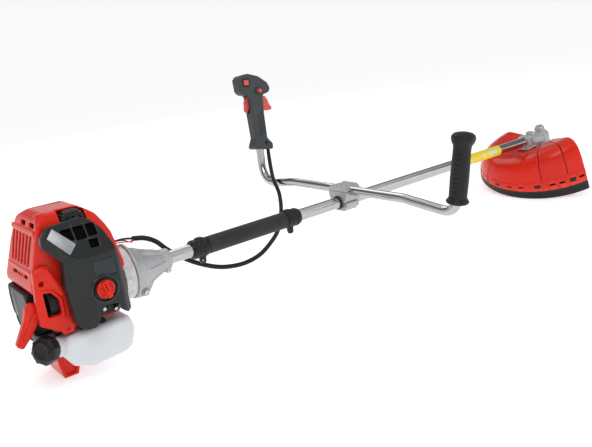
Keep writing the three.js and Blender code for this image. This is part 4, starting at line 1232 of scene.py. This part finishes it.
def build_plain_grip():
    """The right-hand grip, whose end flares more to the front and back than to the sides."""
    bm = bmesh.new()
    sides = 72
    profile = [
        (0, 13), (0, 19), (1.5, 21.5), (4, 23.6), (6.5, 24.2), (9, 22.6), (12, 20), (16, 18.9), (30, 19.2),
        (57, 19.6), (84, 19.2), (110, 18.4), (119, 18.6), (124, 20), (128, 22.8), (133, 24.6), (138, 25.2),
        (143, 23.6), (147, 19), (149.3, 11), (150, 0.2),
    ]
    rings = []
    for height, radius in profile:
        swell = max(0.0, min((height - FLARE_FROM) / FLARE_OVER, 1.0))
        loop = []
        for k in range(sides):
            angle = 2 * math.pi * k / sides
            reach = radius * (1 + FLARE * swell * math.cos(angle))
            loop.append(bm.verts.new((reach * math.cos(angle), radius * math.sin(angle), height)))
        rings.append(loop)
    skin(bm, rings)
    bm.faces.new(rings[0][::-1])
    bm.faces.new(rings[-1])
    grip = from_bmesh(bm)
    ridges = []
    for i in range(9):
        z = 24 + i * 9.5
        for angle in (20, 200):
            lean = Matrix.Rotation(math.radians(14), 4, "X")
            out = Matrix.Translation((18.8, 0, z + 2))
            place = Matrix.Rotation(math.radians(angle), 4, "Z") @ out @ lean
            ridges.append(moved(box(-1.6, 1.6, -8, 8, -2.2, 2.2), place))
    grip = union(grip, *ridges)
    mouth = lathe("z", [(-5, 0), (-5, 18), (14, 12), (14, 0)])
    bore = rod("z", 12, -10, UPRIGHT_RIGHT - PLAIN_BASE + 3)
    stand_in(melted(minus(grip, mouth, bore), 0.9, 3, keep=0.5), "grip_moulded", PLAIN, RUBBER, "plain_grip")


# ---------- throttle handle ----------
HANDLE_OUTLINE = [
    (-32, -10), (38, -16), (37, 2), (21, 18), (19, 88), (21, 138), (42, 144), (49, 156),
    (40, 172), (12, 190), (-22, 198), (-48, 193), (-57, 184), (-54, 150), (-44, 141), (-26, 139),
    (-21, 60), (-18, 20),
]
ROCKER = (-32, 173)
BUTTON = (6, 0, 149)
TRIGGER_OUTLINE = [
    (22, 133), (33, 136), (41, 126), (46, 113), (54, 101), (51, 96), (38, 94), (19, 98),
]


def build_throttle_handle():
    shell = bevelled(prism("y", filleted(HANDLE_OUTLINE, 9), -17, 17), 6.5, 4)
    groove_plane = minus(
        prism("y", shrunk(filleted(HANDLE_OUTLINE, 9), -3), -0.5, 0.5),
        prism("y", shrunk(filleted(HANDLE_OUTLINE, 9), 0.7), -2, 2),
    )
    cuts = [
        groove_plane,
        rod("z", 12, -30, UPRIGHT_LEFT - THROTTLE_BASE + 3),
        box(6, 60, -6, 6, 90, 140),
        box(-50, -15, -5, 5, 90, 138.5),
        box(ROCKER[0] - 10.4, ROCKER[0] + 10.4, -30, -9, ROCKER[1] - 9.4, ROCKER[1] + 9.4),
        rod("y", 8, -30, -7, at=BUTTON, sides=40),
        rod("z", 6.8, -30, 2, at=(28, 0, 0), sides=32),
        rod("y", 5.4, -30, -11, at=(14, 0, 4), sides=32),
    ]
    for i in range(7):
        place = Matrix.Translation((5, 0, 32 + i * 9)) @ Matrix.Rotation(math.radians(-38), 4, "Y")
        cuts.append(moved(box(-14, 14, -19, -13.6, -1.8, 1.8), place))
    shell = melted(minus(shell, *cuts), 0.95, 3, keep=0.45)
    stand_in(shell, "throttle_body", THROTTLE, GREY, "throttle_handle")
    finish(screw_head((14, -11, 4), 4.2, 2), "throttle_body_screw", THROTTLE, BLACK)
    x, z = ROCKER
    surround = minus(
        prism("y", filleted(oblong(x - 12, x + 12, z - 11, z + 11), 3), -18.4, -9.4),
        box(x - 9, x + 9, -30, -5, z - 8, z + 8),
    )
    collar = ring("y", 10.6, 7.7, -20.5, -10, at=BUTTON, edge=0.8)
    lip = ring("y", 9.4, 6, -20.4, -18.8, at=BUTTON, edge=0.3)
    finish(union(bevelled(surround, 0.6, 2), collar, lip), "switch_surrounds", THROTTLE, BLACK)

    blade = prism("y", filleted(TRIGGER_OUTLINE, 3), -5, 5)
    web = prism("y", filleted([(12, 128), (15, 137), (30, 131), (22, 120)], 2), -5, 5)
    hub = rod("y", 5, -5, 5, at=(15, 0, 132), sides=32)
    finger_rest = rod("y", 19, -10, 10, at=(63, 0, 121), sides=64)
    trigger = minus(union(blade, web, hub), finger_rest)
    trigger = melted(bevelled(trigger, 1.2, 2), 0.6, 3)
    stand_in(trigger, "trigger_blade", THROTTLE, SOFT_RED, "throttle_trigger")
    lever_side = [(-18, 138), (-24, 136), (-35, 122), (-37, 95), (-31, 92), (-21, 104)]
    lever = prism("y", filleted(lever_side, 3), -4, 4)
    lever = melted(bevelled(lever, 1.2, 2), 0.6, 3)
    stand_in(lever, "lockout_blade", THROTTLE, SOFT_RED, "lockout_lever")

    rocker = prism("z", [
        (x - 8, -21.5), (x - 0.8, -19.4), (x + 8, -18.5), (x + 8, -11), (x - 8, -11),
    ], z - 7, z + 7)
    marks = [box(x + 3.0, x + 3.8, -22, -18.8, z - 3.4, z + 3.4)]
    stand_in(bevelled(minus(rocker, *marks), 0.7, 2), "stop_rocker", THROTTLE, SOFT_RED, "stop_switch")
    button = lathe("y", [
        (-29, 0), (-29, 3.4), (-28.2, 4.8), (-27, 5.3), (-18, 5.4), (-17.6, 7.2), (-13, 7.2), (-13, 0),
    ], BUTTON, 48)
    grooves = [
        moved(box(-6, 6, -30, -28.3, level - 0.5, level + 0.5), Matrix.Translation(BUTTON))
        for level in (-2.4, 0, 2.4)
    ]
    stand_in(minus(button, *grooves), "lock_plunger", THROTTLE, SOFT_RED, "lock_button")


# ---------- gear head ----------
def from_tube(solid):
    """A solid given along the tube, moved into the gear head's own tilted frame."""
    return moved(solid, HEAD.inverted() @ TUBE)


def build_gear_head():
    neck = from_tube(lathe("x", [
        (1360, 0), (1360, 18), (1361, 19), (1380, 19), (1382, 17.6), (1400, 18.6), (1420, 20), (1420, 0),
    ]))
    ball = lathe("z", [
        (-25.5, 0), (-24, 9), (-18, 18), (-10, 23.4), (0, 25.5), (10, 23.4), (18, 18), (24, 12), (24, 0),
    ])
    boss = lathe("z", [(-46, 0), (-46, 23.2), (-45, 24), (-20, 24), (-12, 22), (0, 21), (0, 0)])
    top = lathe("z", [
        (0, 0), (0, 16), (20, 15), (21, 13.6), (24, 13.6), (25, 15.4), (31, 15.2), (33.5, 12), (33.5, 0),
    ])
    ear = from_tube(prism("y", filleted([(1361, 10), (1383, 10), (1382, 27), (1362, 27)], 4), -8, 8))
    fins = [
        spun(box(10, 24.6, -1.2, 1.2, -42, 14), math.radians(angle)) for angle in (60, 120, 180, 240, 300)
    ]
    casing = union(neck, ball, boss, top, ear, *fins)
    cuts = [
        from_tube(rod("x", TUBE_R + CLEARANCE, 1300, 1397)),
        from_tube(rod("x", 13.5, 1390, 1432)),
        rod("z", 20.5, -32, 0),
        rod("z", 8.3, -60, 0, sides=40),
        from_tube(box(1355, 1390, -0.8, 0.8, 8, 30)),
    ]
    stand_in(melted(minus(casing, *cuts), 0.9, 4), "gear_casing", HEAD, CAST, "gear_case")
    cap = lathe("z", [
        (32, 0), (32, 12), (33, 12.6), (35, 12.6), (36.4, 11), (36.4, 7), (35.4, 6.4), (35.4, 0),
    ], sides=48)
    clamp_screw = from_tube(screw_head((1372, -8, 19), 4.4, 4))
    finish(cap, "gear_case_filler_plug", HEAD, ZINC)
    finish(clamp_screw, "gear_case_clamp_screw", HEAD, ZINC)

    plate = prism("z", filleted(oblong(-97, -67, -20, 20), 4), 1.3, 5)
    post = prism("z", filleted(oblong(-93, -70, -17, 17), 5), 3, 40)
    bolts = [lathe("z", [(4, 0), (4, 4), (8.6, 4), (9.4, 3), (9.4, 0)], (-94, y, 0), 6) for y in (-14, 14)]
    saddle = minus(
        union(plate, post),
        from_tube(rod("x", TUBE_R + CLEARANCE, 1250, 1390)),
        from_tube(rod("x", 19.3, 1359, 1440)),
    )
    stand_in(melted(saddle, 0.9, 4), "guard_saddle", HEAD, CAST, "guard_bracket")
    finish(union(*bolts), "guard_saddle_bolts", HEAD, ZINC)


# ---------- guard ----------
GUARD_FROM = 74
GUARD_TO = 246
GUARD_TAPER = 0.0018
GUARD_TAPER_Z = -51
SKIRT_TOP_Z = -82
SHOULDER_RISE = 21
SHOULDER_START = 24
SHOULDER_WIDTH = 148
SHOULDER_HEIGHT = 60
SHOULDER_CURVE = 0.8
GUARD_DROP = 102
GUARD_WALL = 3
GUARD_SKIN = [
    (-4, 64), (-2.6, 80), (-1, 96), (1.6, 122), (3.6, 142), (3.4, 150), (1, 160), (-4, 172), (-12, 181),
    (-22, 188), (-34, 193.6), (-48, 198), (-56, 199.6), (-60, 200.4), (-61.5, 202), (-72, 203.4),
    (SKIRT_TOP_Z, 204.5),
]
SEAMS = (104, 152, 209, 231)
SEAM_DEPTH = 1.6
SEAM_HALF_ANGLE = 0.8
# Painted shade for the seam grooves: a thin profile set just under the guard's skin, drawn near-black so the
# shallow grooves read dark.
SEAM_SHADE_PROFILE = (
    [(z - 0.75, r - 0.75) for z, r in GUARD_SKIN[:13]]
    + [(z - 2, r - 2) for z, r in GUARD_SKIN[12::-1]]
)
CLIPS = (96, 130, 167, 205, 234)


def shoulder_rise(y, z):
    """How much the guard's right shoulder stands above its left one."""
    outward = max(0.0, min(1.0, (-y - SHOULDER_START) / SHOULDER_WIDTH))
    upward = max(0.0, min(1.0, (z - SKIRT_TOP_Z) / SHOULDER_HEIGHT))
    return SHOULDER_RISE * outward ** SHOULDER_CURVE * upward


def tapered(x, y, z):
    """The guard is deeper on its right side than on its left."""
    scaled = GUARD_TAPER_Z + (z - GUARD_TAPER_Z) * (1 - GUARD_TAPER * y)
    return Vector((x, y, scaled + shoulder_rise(y, z)))


def sector(profile, start, end, steps, groove=None):
    """A closed [height, radius] profile swept through part of a turn, with shallow radial grooves."""
    bm = bmesh.new()
    rings = []
    for i in range(steps + 1):
        degrees = start + (end - start) * i / steps
        depth = groove(degrees) if groove else 0.0
        angle = math.radians(degrees)
        rings.append([
            bm.verts.new(tapered((r - depth) * math.cos(angle), (r - depth) * math.sin(angle), z - depth))
            for z, r in profile
        ])
    skin(bm, rings)
    bm.faces.new(rings[0])
    bm.faces.new(rings[-1][::-1])
    return from_bmesh(bm)


def at_rim(solid, degrees):
    """A solid moved round the guard's rim from 0 degrees, and tapered as the guard is."""
    spun(solid, math.radians(degrees))
    for vertex in solid.data.vertices:
        vertex.co = tapered(*vertex.co)
    return solid


def build_guard():
    under = [(z - GUARD_WALL, r - GUARD_WALL) for z, r in GUARD_SKIN][::-1]
    under[0] = (SKIRT_TOP_Z, 201.5)

    def seam_depth(degrees):
        nearest = min(abs(degrees - seam) for seam in SEAMS)
        return SEAM_DEPTH * max(0.0, 1 - nearest / SEAM_HALF_ANGLE)

    dome = sector(GUARD_SKIN + under, GUARD_FROM, GUARD_TO, 430, seam_depth)
    pad = box(-98, -66, -22, 22, -9, 1)
    # Painted shade: near-black strips in the bottoms of the seam grooves.
    lines = [sector(SEAM_SHADE_PROFILE, seam - 0.22, seam + 0.22, 2) for seam in SEAMS]
    finish(union(*lines), "guard_seam_painted_shade", HEAD, SHADOW)
    cuts = [from_tube(rod("x", 19.7, 1250, 1440))]
    for degrees in CLIPS:
        cuts.append(at_rim(box(180, 215, -9, 9, -75, -67), degrees))
    for degrees in (84, 108, 118, 143, 154, 180, 191, 217, 225, 242):
        cuts.append(at_rim(box(180, 215, -8, 8, -73, -68.6), degrees))
    guard = minus(union(dome, pad), *cuts)
    stand_in(guard, "guard_dome", HEAD, GUARD_RED, "guard")

    skirt = sector([
        (SKIRT_TOP_Z - 0.3, 202), (SKIRT_TOP_Z - 0.3, 205.4), (-90, 206.2), (-98, 207), (-GUARD_DROP, 206.6),
        (-GUARD_DROP, 203.5), (-92, 203),
    ], GUARD_FROM + 2, GUARD_TO, 200)
    stand_in(skirt, "guard_skirt_band", HEAD, RUBBER, "guard_skirt")
    tabs = [at_rim(box(199.8, 202.6, -8, 8, -82, -68), degrees) for degrees in CLIPS]
    finish(bevelled(union(*tabs), 0.5, 2), "guard_skirt_clips", HEAD, RUBBER)
    # Painted shade: a near-black band inside the rim, behind the clip slots, so that they read as shaded
    # recesses.
    slot_shade_outline = [(-66, 198.6), (-66, 199.6), (-76, 199.8), (-76, 198.6)]
    slot_shade_band = sector(slot_shade_outline, GUARD_FROM + 2, GUARD_TO - 1, 120)
    finish(slot_shade_band, "guard_slot_painted_shade", HEAD, SHADOW)
    blade = prism("z", filleted(oblong(175, 199, -13, 13), 2), -113, -111)
    teeth = [box(173, 176.4, y, y + 2.4, -115, -109) for y in range(-12, 12, 5)]
    cutter = spun(minus(blade, *teeth), math.radians(238))
    stand_in(bevelled(cutter, 0.3, 1), "line_cutter_blade", HEAD, STEEL, "line_cutter")


# ---------- line head ----------
LINE_TURN = math.radians(55)
LINE_Z = -90
LINE_R = 1.2
LINE_TWIST = 0.12
LINE_FROM = 47
LINE_LENGTH = 125


def build_line_head():
    housing = lathe("z", [
        (-56, 22), (-57, 24), (-61, 47), (-63, 50.6), (-66, 52.4), (-83, 54), (-84, 53), (-84, 48),
        (-66, 48), (-66, 8.3), (-56, 8.3),
    ], sides=96)
    fins = []
    for i in range(18):
        fin = spun(box(24, 53.4, -1.1, 1.1, -66, -58), 2 * math.pi * i / 18)
        fins.append(both(fin, lathe("z", [(-56, 0), (-56, 24), (-60.5, 52), (-83, 54), (-83, 0)])))
    stand_in(union(housing, *fins), "line_head_top", HEAD, BLACK, "line_head_housing")
    spool = lathe("z", [
        (-72, 8.6), (-72, 44), (-75, 44), (-75, 26), (-93, 26), (-93, 44), (-96, 44), (-96, 26),
        (-104, 26), (-104, 0.5), (-92, 0.5), (-90, 8.6),
    ], sides=64)
    stand_in(spool, "line_spool_wound", HEAD, RED, "line_spool")
    cover = lathe("z", [
        (-84.3, 46), (-84.3, 54), (-86, 54.2), (-98, 51.6), (-101, 48), (-105, 33), (-106, 30), (-106, 27),
        (-98, 27), (-98, 46),
    ], sides=96)
    holes = []
    for side in (-1, 1):
        start, end = sorted((side * 44, side * 60))
        eyelet = rod("x", 1.8, start, end, at=(0, 0, LINE_Z), sides=16)
        holes.append(spun(eyelet, LINE_TURN))
    for i in range(6):
        holes.append(spun(box(34, 43, -6, 6, -110, -90), 2 * math.pi * (i + 0.5) / 6))
    stand_in(minus(cover, *holes), "line_head_bottom", HEAD, BLACK, "line_head_cover")
    knob = lathe("z", [
        (-104.6, 0), (-104.6, 23), (-106, 24), (-112, 23.6), (-116.5, 20), (-119, 14), (-119, 0),
    ], sides=72)
    flutes = []
    for i in range(12):
        angle = 2 * math.pi * i / 12
        flutes.append(rod("z", 2.6, -121, -106, at=(25 * math.cos(angle), 25 * math.sin(angle), 0), sides=20))
    stand_in(bevelled(minus(knob, *flutes), 0.4, 2), "bump_cap", HEAD, RED, "bump_knob")
    out = Vector((math.cos(LINE_TURN), math.sin(LINE_TURN), 0))
    steps = 40
    for letter, side in (("a", 1), ("b", -1)):
        points = [
            out * side * (LINE_FROM + k * LINE_LENGTH / steps) + Vector((0, 0, LINE_Z))
            for k in range(steps + 1)
        ]
        strand = swept(points, lambda travelled: LINE_R - LINE_TWIST * math.sin(travelled * 0.8), 10)
        stand_in(strand, "cutting_line_" + letter, HEAD, NYLON, "trimmer_line_" + letter)


build_studio()
build_cables()
dress_cad_nodes()
build_shroud()
build_plug_cap()
build_side_frame()
build_air_cleaner()
build_starter()
build_tank()
build_foot()
build_clutch_housing()
build_tube()
build_handlebar()
build_bar_clamp()
build_plain_grip()
build_throttle_handle()
build_gear_head()
build_guard()
build_line_head()
